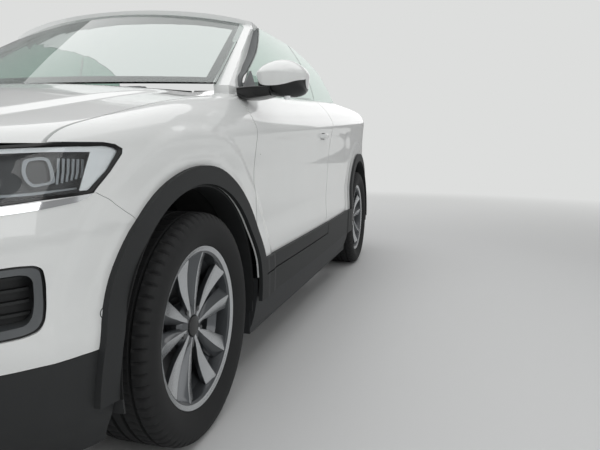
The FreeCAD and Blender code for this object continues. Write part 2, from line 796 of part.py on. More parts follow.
def header_section(x, y, z, depth, height):
    return section([V(x, y, z - height * 0.4), V(x, y + depth, z - height), V(x, y + depth, z), V(x, y, z + 8)])


header_stations = ((-640, -262, 1405), (-400, -330, 1446), (0, -372, 1464), (400, -330, 1446), (640, -262, 1405))
header = Part.makeLoft([header_section(x, y, z, 74, 40) for x, y, z in header_stations], True, False)
screen_frame = pillar.fuse([mirrored(pillar), header])
screen_low = Part.Arc(V(-735, -885, 1076), V(0, -1056, 1074), V(735, -885, 1076)).toShape()
screen_high = Part.Arc(V(-612, -268, 1404), V(0, -362, 1462), V(612, -268, 1404)).toShape()
screen = Part.makeRuledSurface(screen_low, screen_high).extrude(V(0, 2.6, -4.4))
screen = screen.cut(screen_frame)

COWL_HALF = 655.0
COWL_WALL = 20.0
cowl_front = BONNET_CORNER - 16 + size("edge_gap")
cowl_outline = Part.Arc(
    V(-COWL_HALF, cowl_front, 900), V(0, bonnet_rear + size("edge_gap"), 900), V(COWL_HALF, cowl_front, 900))
cowl_edges = Part.makePolygon([V(COWL_HALF, cowl_front, 900), V(COWL_HALF, -912, 900), V(400, -925, 900),
                               V(-400, -925, 900), V(-COWL_HALF, -912, 900), V(-COWL_HALF, cowl_front, 900)])
cowl = skin(COWL_WALL).common(Part.Face(Part.Wire([cowl_outline.toShape()] + cowl_edges.Edges)).extrude(V(0, 0, 400)))

# Structure under the skin

FRONT_AXLE = "(front_overhang - overall_length / 2)"
REAR_AXLE = "(front_overhang - overall_length / 2 + wheelbase)"
Beam = namedtuple("Beam", "name sided x y z")
FLOOR_TOP = "(ground_gap + floor_thick)"
BEAMS = (
    #    name       sided  x from, to          y from, to                 z from, to
    Beam("Floor", False, ("-cabin_half - 60", "cabin_half + 60"), ("firewall - 15", "500"),
         ("ground_gap", FLOOR_TOP)),
    Beam("Tunnel", False, ("-120", "120"), ("firewall - 15", "500"), ("ground_gap", "330")),
    Beam("HeelBoard", False, ("-cabin_half - 60", "cabin_half + 60"), ("470", "500"), ("ground_gap", "330")),
    Beam("SeatPan", False, ("-cabin_half + 20", "cabin_half - 20"), ("470", "rear_wall + 20"), ("305", "330")),
    Beam("RearWall", False, ("-cabin_half + 20", "cabin_half - 20"), ("rear_wall", "rear_wall + 20"),
         ("305", "1000")),
    Beam("BootFloor", False, ("-520", "520"), ("rear_wall", "2025"), ("430", "450")),
    Beam("BootSill", False, ("-555", "555"), ("2000", "2030"), ("436", "745")),
    Beam("TopWell", False, ("-600", "600"), ("rear_wall", "1495"), ("880", "895")),
    Beam("Bulkhead", False, ("-660", "660"), ("firewall - 15", "firewall"), ("ground_gap", "1000")),
    Beam("FrontBeam", False, ("-455", "455"), ("-1985", "-1950"), ("420", "560")),
    Beam("Sill", True, ("cabin_half + 50", "cabin_half + 50 + sill_width + 40"), ("-885", "890"),
         ("ground_gap + 5", "sill_top")),
    Beam("HingePillar", True, ("650", "798"), ("-925", "-800"), ("ground_gap + 5", "bonnet_axis_z - 15")),
    Beam("FootwellSide", True, ("575", "590"), ("firewall - 15", "-877"), ("ground_gap + 5", "540")),
    Beam("FootwellBack", True, ("575", "660"), ("-889", "-877"), ("ground_gap + 5", "540")),
    Beam("LockPillar", True, ("cabin_half + 20", "800"), ("door_rear + 32", "470"), ("ground_gap + 5", "1030")),
    Beam("LockPillarFoot", True, ("cabin_half + 20", "820"), ("door_rear - 90", "470"), ("ground_gap + 5", "540")),
    Beam("FrontRail", True, ("395", "455"), ("-1960", "firewall"), ("400", "500")),
    Beam("FrontApron", True, ("450", "462"), ("-1800", "firewall"), ("480", "880")),
    Beam("StrutTower", True, ("455", "640"), (f"{FRONT_AXLE} - 90", f"{FRONT_AXLE} + 90"), ("843", "880")),
    Beam("WingRail", True, ("455", "690"), (f"{FRONT_AXLE} + 60", "firewall - 15"), ("850", "880")),
    Beam("RearRail", True, ("430", "500"), ("rear_wall", "1990"), ("330", "432")),
    Beam("BootSide", True, ("560", "575"), ("rear_wall", "1960"), ("430", "1000")),
    Beam("BootCorner", True, ("500", "575"), ("rear_wall", "1960"), ("430", "450")),
)
beams = []
for beam in BEAMS:
    beams.append(block(beam.name, beam.x, beam.y, beam.z))
    if beam.sided:
        low, high = beam.x
        beams.append(block(f"{beam.name}Right", (f"-({high})", f"-({low})"), beam.y, beam.z))
frame = joined("BodyFrame", beams)
doc.recompute()

sill_skin = skin(45).common(slab((500, FAR), (-880, 905), (170, size("sill_top"))))
sill_skin = sill_skin.cut(arch_cylinder(front_axle, size("arch_inner") + 1, 300))
sill_skin = sill_skin.cut(arch_cylinder(rear_axle, size("arch_inner") + 1, 300))
wing_rail = shell_between(wall + size("rail_drop"), 70).common(
    slab((786, FAR), (-1640, -873), (830, 1300))).cut(bonnet_prism(gap))

cowl_seat = shell_between(COWL_WALL + size("seat_gap"), INNER_FRAME).common(
    slab((560, COWL_HALF - 15), (size("firewall") - 15, size("firewall")), (980, 1300)))

# Lid hinges: an eye on the lid turns on a pin that the body carries

lid_pin = size("lid_pin")
EYE = 11.0


def yz_prism(outline, first, last):
    return prism([V(first, y, z) for y, z in outline], V(last - first, 0, 0))


bonnet_y = size("bonnet_axis_y")
bonnet_z = size("bonnet_axis_z")
BONNET_LUG = (660.0, 668.0)
BONNET_ARM = (668.5, 680.0)
bonnet_bracket = slab(BONNET_LUG, (bonnet_y - 15, bonnet_y + 15), (bonnet_z - 15, bonnet_z + 12)).fuse(
    turned(BONNET_LUG[0], bonnet_y, bonnet_z, lid_pin, BONNET_ARM[1] + 4 - BONNET_LUG[0]))
bonnet_arm = yz_prism([
    (bonnet_y + 4, bonnet_z - 9), (bonnet_y + 4, bonnet_z + 9), (bonnet_y - 85, bonnet_z + 5),
    (bonnet_y - 150, bonnet_z + 16), (bonnet_y - 150, bonnet_z - 12), (bonnet_y - 85, bonnet_z - 9),
], *BONNET_ARM).fuse(turned(BONNET_ARM[0], bonnet_y, bonnet_z, EYE, BONNET_ARM[1] - BONNET_ARM[0]))
bonnet_bore = turned(BONNET_ARM[0] - 1, bonnet_y, bonnet_z, lid_pin + size("spin_gap"), 20)
bonnet_arm = bonnet_arm.cut(bonnet_bore)
bonnet = bonnet_panel.fuse([bonnet_arm, mirrored(bonnet_arm)])

boot_y = size("boot_axis_y")
boot_z = size("boot_axis_z")
BOOT_ARM = (520.0, 531.0)
BOOT_LUG = (531.5, 575.0)
boot_bracket = slab(BOOT_LUG, (boot_y - 14, boot_y + 14), (985, boot_z + 12)).fuse(
    turned(BOOT_ARM[0] - 4, boot_y, boot_z, lid_pin, BOOT_LUG[0] + 4 - BOOT_ARM[0]))
boot_arm = yz_prism([
    (boot_y - 8, boot_z), (boot_y - 8, boot_z - 108), (boot_y + 160, boot_z - 108), (boot_y + 172, boot_z + 36),
    (boot_y + 158, boot_z + 36), (boot_y + 146, boot_z - 94), (boot_y + 8, boot_z - 94), (boot_y + 8, boot_z),
], *BOOT_ARM).fuse(turned(BOOT_ARM[0], boot_y, boot_z, EYE, BOOT_ARM[1] - BOOT_ARM[0]))
boot_arm = boot_arm.cut(turned(BOOT_ARM[0] - 1, boot_y, boot_z, lid_pin + size("spin_gap"), 20))
boot_lid = boot_panel.fuse([boot_arm, mirrored(boot_arm)])

# Wheels: a body turned and lofted about the wheel's own axle, then set on the car

track_front = size("front_track") / 2
track_rear = size("rear_track") / 2
INNER_BARREL = "rim_bead - rim_wall"
RIM_SECTION = (
    #  outboard               radius
    ("-rim_width / 2", "rim_flange"),
    ("-rim_width / 2", INNER_BARREL),
    ("-rim_width / 2 + 26", INNER_BARREL),
    ("-rim_width / 2 + 40", "rim_well - rim_wall"),
    ("rim_width / 2 - 70", "rim_well - rim_wall"),
    ("rim_width / 2 - 48", INNER_BARREL),
    ("rim_width / 2 - rim_lip", INNER_BARREL),
    ("rim_width / 2", "rim_flange - rim_lip"),
    ("rim_width / 2", "rim_flange"),
    ("rim_width / 2 - rim_lip", "rim_flange"),
    ("rim_width / 2 - rim_lip", "rim_bead"),
    ("rim_width / 2 - 44", "rim_bead"),
    ("rim_width / 2 - 66", "rim_well"),
    ("-rim_width / 2 + 44", "rim_well"),
    ("-rim_width / 2 + 30", "rim_bead"),
    ("-rim_width / 2 + rim_lip", "rim_bead"),
    ("-rim_width / 2 + rim_lip", "rim_flange"),
)
DISC_BACK = "-31"
BORE = "stub_radius + spin_gap"
HUB_SECTION = (
    (DISC_BACK, "hub_radius"),
    (DISC_BACK, "disc_radius"),
    (f"{DISC_BACK} + disc_thick", "disc_radius"),
    (f"{DISC_BACK} + disc_thick", "hub_radius + 12"),
    ("2", "hub_radius + 6"),
    ("2", "hub_radius - 12"),
    ("30", "hub_radius"),
    ("spoke_face - 6", "hub_radius"),
    ("spoke_face", "hub_radius / 2"),
    ("spoke_face - 4", "hub_radius / 2 - 3"),
    ("spoke_face - 4", BORE),
    ("-4", BORE),
    ("-4", "hub_radius"),
)
# A twin spoke: each blade is narrow and upright at the hub, wide and turned at the rim.
BLADE_ROOT = (("34", 5), ("spoke_face - 3", 4), ("spoke_face + 1", 19), ("36", 17))
BLADE_TIP = (("54", 36), ("spoke_face + 6", 33), ("spoke_face + 22", 70), ("60", 66))
TYRE_LIP = "rim_width / 2 - rim_lip - seat_gap"
TYRE_SEAT = "rim_bead + seat_gap"
TYRE_HEEL = "rim_flange + seat_gap"
HALF_TYRE = (
    (TYRE_LIP, TYRE_SEAT),
    (TYRE_LIP, TYRE_HEEL),
    (f"{TYRE_LIP} + 8", TYRE_HEEL),
    ("tyre_width / 2", "(tyre_radius + rim_flange) / 2 + 3"),
    ("tyre_width / 2 - 5", "tyre_radius - 28"),
    ("tyre_tread / 2 + 4", "tyre_radius - 6"),
    ("tyre_tread / 2 - 8", "tyre_radius"),
)
TYRE_SECTION = HALF_TYRE + tuple((f"-({x})", radius) for x, radius in reversed(HALF_TYRE))


def turned_feature(body, name, section_points):
    # A section in the upright plane, turned about the body's long axis.
    made = body.newObject("PartDesign::Revolution", name)
    made.Profile = outline(body, f"{name}Section", "XZ_Plane", section_points)
    made.ReferenceAxis = (made.Profile[0], ["H_Axis"])
    made.Angle = 360
    return made


def blade(body, name, side):
    root = outline(body, f"{name}Root", "XY_Plane", [(x, side * y) for x, y in BLADE_ROOT], "hub_radius - 30")
    tip = outline(body, f"{name}Tip", "XY_Plane", [(x, side * y) for x, y in BLADE_TIP], f"{INNER_BARREL} - 4.5")
    made = body.newObject("PartDesign::AdditiveLoft", name)
    made.Profile = root
    made.Sections = [tip]
    made.Ruled = True
    return made


def on_axle(body, track, axle, sign):
    # The right hand wheels are the left hand ones turned about.
    if sign < 0:
        body.Placement.Rotation = FreeCAD.Rotation(UP, 180)
    return place(body, f"{sign} * {track} / 2", axle, "tyre_radius")


def rim(name, track, axle, sign):
    body = doc.addObject("PartDesign::Body", name)
    turned_feature(body, f"{name}Hub", HUB_SECTION)
    blades = [blade(body, f"{name}Blade{number}", side) for number, side in ((1, 1), (2, -1))]
    doc.recompute()
    spokes = body.newObject("PartDesign::PolarPattern", f"{name}Spokes")
    spokes.Originals = blades
    spokes.Axis = (plane_of(body, "X_Axis"), [""])
    spokes.Angle = 360
    bind(spokes, Occurrences="spoke_pairs")
    body.Tip = spokes
    turned_feature(body, f"{name}Barrel", RIM_SECTION)
    return on_axle(body, track, axle, sign)


def tyre(name, track, axle, sign):
    body = doc.addObject("PartDesign::Body", name)
    turned_feature(body, f"{name}Ring", TYRE_SECTION)
    return on_axle(body, track, axle, sign)


# Knuckles turn about the line from the lower ball joint to the strut's top mount

low_joint = V(size("steer_low_x"), front_axle, size("steer_low_z"))
top_joint = V(size("steer_top_x"), front_axle, size("steer_top_z"))
steer_axis = (top_joint - low_joint).normalize()
STEER_SLOPE = "((steer_top_x - steer_low_x) / (steer_top_z - steer_low_z))"


def steer_bar(name, radius, low, high):
    # A round bar on the steering axis between two heights.
    start = (f"steer_low_x + (({low}) - steer_low_z) * {STEER_SLOPE}", FRONT_AXLE, low)
    return rod(name, radius, f"(({high}) - ({low})) * sqrt(1 + {STEER_SLOPE}^2)", start, steer_axis)


HUB_END = "(spoke_face - 12)"
knuckle_solids = joined("KnuckleSolids", [
    block("KnuckleCarrier", ("655", "702"), (f"{FRONT_AXLE} - 55", f"{FRONT_AXLE} + 55"),
          ("tyre_radius - 92", "tyre_radius + 86")),
    rod("KnuckleSpindle", "stub_radius", f"front_track / 2 + {HUB_END} - 655", ("655", FRONT_AXLE, "tyre_radius"), ALONG),
    cut("Caliper", block("CaliperBody", ("716", "786"), (f"{FRONT_AXLE} + 96", f"{FRONT_AXLE} + 172"),
                         ("tyre_radius - 45", "tyre_radius + 45")),
        [block("CaliperSlot", ("736", "772"), (f"{FRONT_AXLE} + 90", f"{FRONT_AXLE} + 163"),
               ("tyre_radius - 50", "tyre_radius + 50"))]),
    block("CaliperBridge", ("690", "720"), (f"{FRONT_AXLE} + 40", f"{FRONT_AXLE} + 160"),
          ("tyre_radius - 30", "tyre_radius + 30")),
    block("LowBoss", ("655", "734"), (f"{FRONT_AXLE} - 24", f"{FRONT_AXLE} + 24"), ("242", "262")),
    steer_bar("Strut", "strut_radius", "380", "tower_low - 8"),
    steer_bar("StrutTop", "strut_pin", "800", "tower_low + 37"),
    steer_bar("BallPin", "ball_pin", "205", "250"),
])
strut_hole = steer_bar("StrutHole", "strut_pin + spin_gap", "700", "950")
knuckle = cut("Knuckle", knuckle_solids, [steer_bar("BallRelief", "30", "100", "203")])

arm_side = joined("ArmSide", [
    block("Arm", ("320", "712"), (f"{FRONT_AXLE} - 26", f"{FRONT_AXLE} + 26"), ("212", "232")),
    common("ArmEye", steer_bar("ArmEyeBar", "14", "208", "236"),
           block("ArmEyeTrim", ("0", "1200"), (f"{FRONT_AXLE} - 60", f"{FRONT_AXLE} + 60"), ("200", "238"))),
    block("SubframePost", ("395", "455"), (f"{FRONT_AXLE} - 40", f"{FRONT_AXLE} + 40"), ("222", "400 - seat_gap")),
])
arm_left = cut("ArmLeft", arm_side, [steer_bar("ArmEyeBore", "ball_pin + spin_gap", "190", "260")])
subframe = joined("Subframe", [
    block("CrossMember", ("-330", "330"), (f"{FRONT_AXLE} - 70", f"{FRONT_AXLE} + 70"), ("200", "240")),
    arm_left, reflected("ArmRight", arm_left)])

BEAM_Y = f"{REAR_AXLE} - beam_back"
rear_side = joined("RearSide", [
    block("TrailArm", ("560", "612"), (f"{REAR_AXLE} - 430", f"{REAR_AXLE} + 40"), ("240", "300")),
    block("TrailMount", ("500", "612"), (f"{REAR_AXLE} - 430", f"{REAR_AXLE} - 390"), ("240", "305 - seat_gap")),
    block("HubPlate", ("600", "722"), (f"{REAR_AXLE} - 45", f"{REAR_AXLE} + 45"), ("tyre_radius - 55", "tyre_radius + 55")),
    rod("RearSpindle", "stub_radius", f"rear_track / 2 + {HUB_END} - 700", ("700", REAR_AXLE, "tyre_radius"), ALONG),
])
beam_axle = joined("BeamAxle", [
    rod("AxleBeam", "36", "1180", ("-590", BEAM_Y, "276"), ALONG), rear_side, reflected("RearSideRight", rear_side)])

LINER_RADIUS = "arch_inner - seat_gap"


def liner(name, axle, inner, outer):
    start = (inner, axle, "tyre_radius")
    return cut(name, rod(f"{name}Outside", LINER_RADIUS, f"{outer} - {inner}", start, ALONG), [
        rod(f"{name}Inside", f"{LINER_RADIUS} - liner_wall", f"{outer} - {inner}", start, ALONG),
        block(f"{name}Foot", (inner, outer), (f"{axle} - 500", f"{axle} + 500"), ("-200", "sill_low"))])


liners = [liner("FrontLiner", FRONT_AXLE, "650", "868"), liner("RearLiner", REAR_AXLE, "620", "872")]

# Underneath

pipe_rise = rod("PipeRise", "pipe_radius - 1", "185", ("0", "1388", "pipe_height"), V(0, 1, 0.2))
tail_pipe = rod("TailPipe", "pipe_radius + 3", "270", ("-280", "1775", "pipe_height + 63"), REARWARD)
hangers = [block(f"PipeHanger{number}", ("-14", "14"), (y, f"{y} + 20"), ("pipe_height + 23", "300 - seat_gap"))
           for number, y in enumerate(("-500", "100"))]
hangers += [block(f"BoxHanger{number}", (f"{x} - 14", f"{x} + 14"), ("1650", "1670"), ("348", "430 - seat_gap"))
            for number, x in enumerate(("-200", "200"))]
silencer = pressed("Silencer", "XZ_Plane", [("-330", "232"), ("-330", "350"), ("330", "350"), ("330", "232")],
                   "-1780", "-1560", "silencer_round")
exhaust = joined("ExhaustLine", [
    rod("Pipe", "pipe_radius", "2300", ("0", "-900", "pipe_height"), REARWARD), silencer, pipe_rise, tail_pipe] + hangers)
tank = cut("Tank", pressed("TankBody", "XY_Plane", [("-400", "545"), ("-400", "975"), ("400", "975"), ("400", "545")],
                           "178", "305 - seat_gap", "tank_round"),
           [block("TankChannel", ("-45", "45"), ("500", "1000"), ("170", "262"))])
engine = cut("Engine", pressed("EngineBody", "XY_Plane",
                               [("-330", "-1780"), ("-330", "-1150"), ("300", "-1150"), ("300", "-1780")],
                               "240 + seat_gap", "800", "engine_round"),
             [block("EngineChannel", ("-400", "400"), (f"{FRONT_AXLE} - 71", f"{FRONT_AXLE} + 71"), ("0", "240 + 2 * seat_gap"))])

# Cabin: trims and soft furnishings are side outlines pressed across the car

DASH = (
    ("firewall + seat_gap", 700), ("firewall + seat_gap", 1010), ("firewall + 25", 1014), ("firewall + 80", 1040),
    ("firewall + 230", 1000), ("firewall + 275", 950), ("firewall + 290", 870), ("firewall + 260", 780),
    ("firewall + 170", 690))
dash = pressed("Dash", "YZ_Plane", DASH, "-600", "600")
CONSOLE = (
    (-650, "330 + seat_gap"), (-650, 690), (-560, 640), (-350, 560), (60, 545), (90, "330 + seat_gap"))
console = cut("Console", pressed("ConsoleBody", "YZ_Plane", CONSOLE, "-105", "105"), [dash])
CUSHION = (
    ("seat_front", "seat_low"), ("seat_front", "seat_top - 25"), ("seat_front + 60", "seat_top"),
    ("seat_back - 50", "seat_top - 30"), ("seat_back - 50", "seat_low"))
BACK = (
    ("seat_back - 50 + seat_gap", 420), ("seat_back - 50 + seat_gap", "seat_top - 15"), ("seat_back + 102", 1020),
    ("seat_back + 138", 1045), ("seat_back + 205", 1040), ("seat_back + 215", 1000), ("seat_back + 90", 420))
HEADREST = (
    ("seat_back + 132", 1062), ("seat_back + 128", 1190), ("seat_back + 160", 1225), ("seat_back + 218", 1220),
    ("seat_back + 228", 1075))
seat_parts = []
seat_frames = []
for side, sign in SIDES:
    name = side.capitalize()
    middle = f"({sign} * seat_x)"
    seat_parts.append(pressed(f"Cushion{name}", "YZ_Plane", CUSHION, f"{middle} - seat_width / 2", f"{middle} + seat_width / 2"))
    back = pressed(f"Back{name}", "YZ_Plane", BACK, f"{middle} - seat_width / 2 + 10", f"{middle} + seat_width / 2 - 10")
    head = pressed(f"Headrest{name}", "YZ_Plane", HEADREST, f"{middle} - 128", f"{middle} + 128")
    posts = [rod(f"Post{name}{number}", "7", "40", (f"{middle} + {x}", "seat_back + 178", "1035"), UP)
             for number, x in enumerate((-60, 60))]
    seat_parts.append(joined(f"Backrest{name}", [back, head] + posts))
    for number, x in enumerate((-150, 150)):
        seat_frames.append(block(f"SeatRail{name}{number}", (f"{middle} + {x} - 22", f"{middle} + {x} + 22"), ("-430", "60"),
                                 ("ground_gap + floor_thick + seat_gap", "seat_low - seat_gap")))
BENCH = (
    ("bench_front", "330 + seat_gap"), ("bench_front", "bench_top - 30"), ("bench_front + 50", "bench_top"),
    (845, "bench_top - 30"), (880, "330 + seat_gap"))
BENCH_BACK = (
    (885, 345), (852, 500), ("rear_wall - 85", 985), ("rear_wall - 50", 1000), ("rear_wall - seat_gap", 1000),
    ("rear_wall - seat_gap", 345))
BENCH_HEAD = (
    ("rear_wall - 75", 998), ("rear_wall - 72", 1110), ("rear_wall - 50", 1130), ("rear_wall - 10", 1125),
    ("rear_wall - 4", 998))
bench = pressed("Bench", "YZ_Plane", BENCH, "-560", "560")
bench_back = joined("BenchBacks", [pressed("BenchBack", "YZ_Plane", BENCH_BACK, "-560", "560")] + [
    pressed(f"BenchHead{number}", "YZ_Plane", BENCH_HEAD, f"{x} - 115", f"{x} + 115") for number, x in enumerate((-290, 290))])
STACK = (
    ("stack_front", "895 + seat_gap"), ("stack_front - 10", 1120), ("stack_front + 60", 1172), (1250, 1186), (1440, 1170),
    ("stack_rear", 1140), ("stack_rear - 10", "895 + seat_gap"))
STACK_COVER = (
    ("stack_front", 1100), ("stack_front + 60", 1160), (1250, 1174), (1440, 1160), ("stack_rear - 6", 1135),
    ("stack_rear - 40", 1080))
stack = joined("Stack", [
    pressed("StackBody", "YZ_Plane", STACK, "-545", "545"),
    pressed("StackCover", "YZ_Plane", STACK_COVER, "-stack_half", "stack_half")])

tilt = math.radians(size("wheel_tilt"))
wheel_axis = V(0, math.cos(tilt), math.sin(tilt))
DOWN_COLUMN = ("wheel_x", "wheel_y - 170 * cos(wheel_tilt * 1 deg)", "wheel_z - 170 * sin(wheel_tilt * 1 deg)")
column = cut("Column", joined("ColumnBars", [
    rod("ColumnShroud", "34", "118", DOWN_COLUMN, wheel_axis), rod("ColumnShaft", "column_pin", "160", DOWN_COLUMN, wheel_axis)]),
    [dash])
grip = doc.addObject("Part::Torus", "Grip")
bind(grip, Radius1="wheel_ring", Radius2="grip_radius")
wheel_spokes = [
    block("SpokeLeft", ("0", "wheel_ring"), ("-15", "15"), ("-34", "-14")),
    block("SpokeRight", ("-wheel_ring", "0"), ("-15", "15"), ("-34", "-14")),
    block("SpokeLow", ("-15", "15"), ("-wheel_ring", "0"), ("-34", "-14")),
]
steering_wheel = cut("SteeringWheelTurned", joined("WheelSolids", [
    grip, rod("WheelBoss", "62", "34", ("0", "0", "-46"), UP)] + wheel_spokes),
    [rod("WheelBore", "column_pin + spin_gap", "35", ("0", "0", "-47"), UP)])
steering_wheel.Placement.Rotation = FreeCAD.Rotation(UP, wheel_axis)
place(steering_wheel, "wheel_x", "wheel_y", "wheel_z")
doc.recompute()

# Mirrors on the doors

MirrorSection = namedtuple("MirrorSection", "x y z depth height")
MIRROR = (
    MirrorSection(868, -802, 1098, 34, 30),
    MirrorSection(900, -796, 1097, 62, 50),
    MirrorSection(960, -775, 1096, 74, 56),
    MirrorSection(1010, -735, 1094, 62, 46),
    MirrorSection(1024, -715, 1092, 40, 28),
)
CAP_OUTLINE = ((1, -0.35), (0.92, 0.45), (0.45, 0.95), (-0.5, 1), (-0.95, 0.55), (-1, -0.5), (-0.8, -0.95), (0.8, -0.9))
mirror_body = doc.addObject("PartDesign::Body", "MirrorHead")
cap_sketches = [
    outline(mirror_body, f"MirrorCap{number}", "YZ_Plane",
            [(station.y + station.depth * along, station.z + station.height * up) for along, up in CAP_OUTLINE], station.x)
    for number, station in enumerate(MIRROR)]
cap = mirror_body.newObject("PartDesign::AdditiveLoft", "MirrorCap")
cap.Profile = cap_sketches[0]
cap.Sections = cap_sketches[1:]
cap.Ruled = True
doc.recompute()
mirror_foot = slab((806, 885), (-826, -750), (1030, 1080)).cut(body_form(-size("seat_gap")))
mirror = mirror_body.Shape.fuse(mirror_foot)

# Nodes

hinges = [door_hinge(height) for height in hinge_heights]
shell_parts = [sill_skin, wing_rail, cowl_seat, bonnet_bracket, boot_bracket] + hinges
shell_more = shell_parts + [mirrored(piece) for piece in shell_parts]
exhaust_channel = slab((-60, 60), (-1000, 520), (100, 300))
strut_holes = strut_hole.Shape
wheel_houses = [arch_cylinder(front_axle, size("arch_inner"), 590), arch_cylinder(rear_axle, size("arch_inner"), 619)]
openings = [exhaust_channel, strut_holes, mirrored(strut_holes)] + wheel_houses
body_shell = frame.Shape.fuse(shell_more).cut(openings + [mirrored(piece) for piece in wheel_houses]).removeSplitter()
node("body_shell", feature("BodyShell", body_shell))
node("bonnet", feature("Bonnet", bonnet))
node("boot_lid", feature("BootLid", boot_lid))
node("front_fenders", feature("FrontFenders", both(fender)))
node("headlamps", feature("Headlamps", both(headlamp)))
node("front_bumper", feature("FrontBumper", bumper))
node("fog_lamp_frames", feature("FogLampFrames", both(fog_frame)))
node("front_valance", feature("FrontValance", valance))
node("grilles", feature("Grilles", Part.makeCompound([upper_grille, lower_grille])))
node("quarter_panels", feature("QuarterPanels", both(quarter)))
node("tail_lamps", feature("TailLamps", both(tail_lamp)))
node("rear_bumper", feature("RearBumper", rear_bumper))
node("rear_valance", feature("RearValance", rear_valance))
node("rear_deck", feature("RearDeck", rear_deck))
node("side_cladding", feature("SideCladding", both(cladding)))
node("windscreen_frame", feature("WindscreenFrame", screen_frame))
node("windscreen", feature("Windscreen", screen))
node("cowl_panel", feature("CowlPanel", cowl))
node("quarter_glasses", feature("QuarterGlasses", both(quarter_glass)))
node("folded_top", stack)
node("dashboard", dash)
node("centre_console", console)
node("front_seats", grouped("FrontSeats", seat_parts))
node("seat_frames", grouped("SeatFrames", seat_frames))
node("rear_bench", grouped("RearBench", [bench, bench_back]))
node("arch_liners", grouped("ArchLiners", liners + [reflected(f"{piece.Name}Right", piece) for piece in liners]))
node("engine_block", engine)
node("front_subframe", subframe)
node("rear_axle", beam_axle)
node("exhaust", exhaust)
node("fuel_tank", tank)
node("steering_column", column)
node("steering_wheel", steering_wheel)
for side, sign in SIDES:
    name = side.capitalize()

    def sided(shape):
        return shape if sign > 0 else mirrored(shape)

    node(f"door_{side}", feature(f"Door{name}", sided(door)))
    node(f"door_trim_{side}", feature(f"DoorTrim{name}", sided(door_trim)))
    node(f"door_glass_{side}", feature(f"DoorGlass{name}", sided(door_glass)))
    node(f"mirror_{side}", feature(f"Mirror{name}", sided(mirror)))
    node(f"knuckle_{side}", knuckle if sign > 0 else reflected("KnuckleRight", knuckle))
    for end, axle in (("front", FRONT_AXLE), ("rear", REAR_AXLE)):
        node(f"rim_{end}_{side}", rim(f"Rim{end.capitalize()}{name}", f"{end}_track", axle, sign))
        node(f"tyre_{end}_{side}", tyre(f"Tyre{end.capitalize()}{name}", f"{end}_track", axle, sign))

doc.recompute()
for thing in doc.Objects:
    if "Invalid" in thing.State or "Error" in thing.State:
        raise RuntimeError(f"{thing.Name} did not build: {thing.State}")
for thing in NODES:
    if thing.Shape.isNull() or not thing.Shape.isValid() or not thing.Shape.Solids:
        raise RuntimeError(f"{thing.Label} has no sound shape")

os.makedirs("parts", exist_ok=True)
for thing in NODES:
    thing.Shape.exportStep(f"parts/{thing.Label}.step")
    box = thing.Shape.BoundBox
    print(f"{thing.Label}: {len(thing.Shape.Solids)} solids, {thing.Shape.Volume / 1e6:.2f} litres")
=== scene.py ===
import math

import bmesh
import bpy
import numpy as np
from mathutils import Matrix, Vector


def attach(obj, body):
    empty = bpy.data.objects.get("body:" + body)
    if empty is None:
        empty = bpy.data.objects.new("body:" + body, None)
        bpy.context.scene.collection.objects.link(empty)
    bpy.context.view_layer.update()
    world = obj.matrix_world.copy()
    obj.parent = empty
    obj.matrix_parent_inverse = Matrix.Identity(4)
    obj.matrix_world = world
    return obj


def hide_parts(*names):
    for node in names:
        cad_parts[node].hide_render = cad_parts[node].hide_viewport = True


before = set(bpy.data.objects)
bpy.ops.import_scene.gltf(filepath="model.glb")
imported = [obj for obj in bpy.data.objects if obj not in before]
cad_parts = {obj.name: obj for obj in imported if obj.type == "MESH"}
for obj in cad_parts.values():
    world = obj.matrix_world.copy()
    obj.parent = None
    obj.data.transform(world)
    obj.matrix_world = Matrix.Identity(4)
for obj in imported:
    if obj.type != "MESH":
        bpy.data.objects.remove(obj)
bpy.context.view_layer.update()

mm = 0.001
scene = bpy.context.scene

# Colours and materials.


def linear(hexColour):
    # sRGB hex to linear, as the shader wants it
    parts = [int(hexColour[i:i + 2], 16) / 255 for i in (1, 3, 5)]
    return [c / 12.92 if c < 0.04045 else ((c + 0.055) / 1.055) ** 2.4 for c in parts] + [1.0]


def addNode(tree, kind, links=None, **settings):
    # one node, its settings and what feeds its inputs
    node = tree.nodes.new("ShaderNode" + kind)
    for key, value in settings.items():
        if hasattr(node, key):
            setattr(node, key, value)
        else:
            node.inputs[key.replace("_", " ")].default_value = value
    for key, source in (links or {}).items():
        tree.links.new(source, node.inputs[key])
    return node


def newMaterial(name, colour, roughness, ior=1.5, metallic=0.0, **more):
    made = bpy.data.materials.new(name)
    made.use_nodes = True
    tree = made.node_tree
    tree.nodes.clear()
    shader = addNode(tree, "BsdfPrincipled", Base_Color=linear(colour), Roughness=roughness,
                     IOR=ior, Metallic=metallic, **more)
    output = addNode(tree, "OutputMaterial", {"Surface": shader.outputs[0]})
    made.diffuse_color = linear(colour)
    return made, tree, shader, output


def position(tree, perMetre=1.0):
    # object coordinates in metres, scaled to the pattern's pitch
    place = addNode(tree, "TexCoord")
    scaled = addNode(tree, "VectorMath", {0: place.outputs["Object"]}, operation="SCALE", Scale=perMetre)
    return scaled.outputs[0]


def bumped(tree, shader, height, depth, strength=1.0):
    # relief of a depth in mm, on the shader's normal
    bump = addNode(tree, "Bump", {"Height": height}, Strength=strength, Distance=depth * mm)
    tree.links.new(bump.outputs[0], shader.inputs["Normal"])


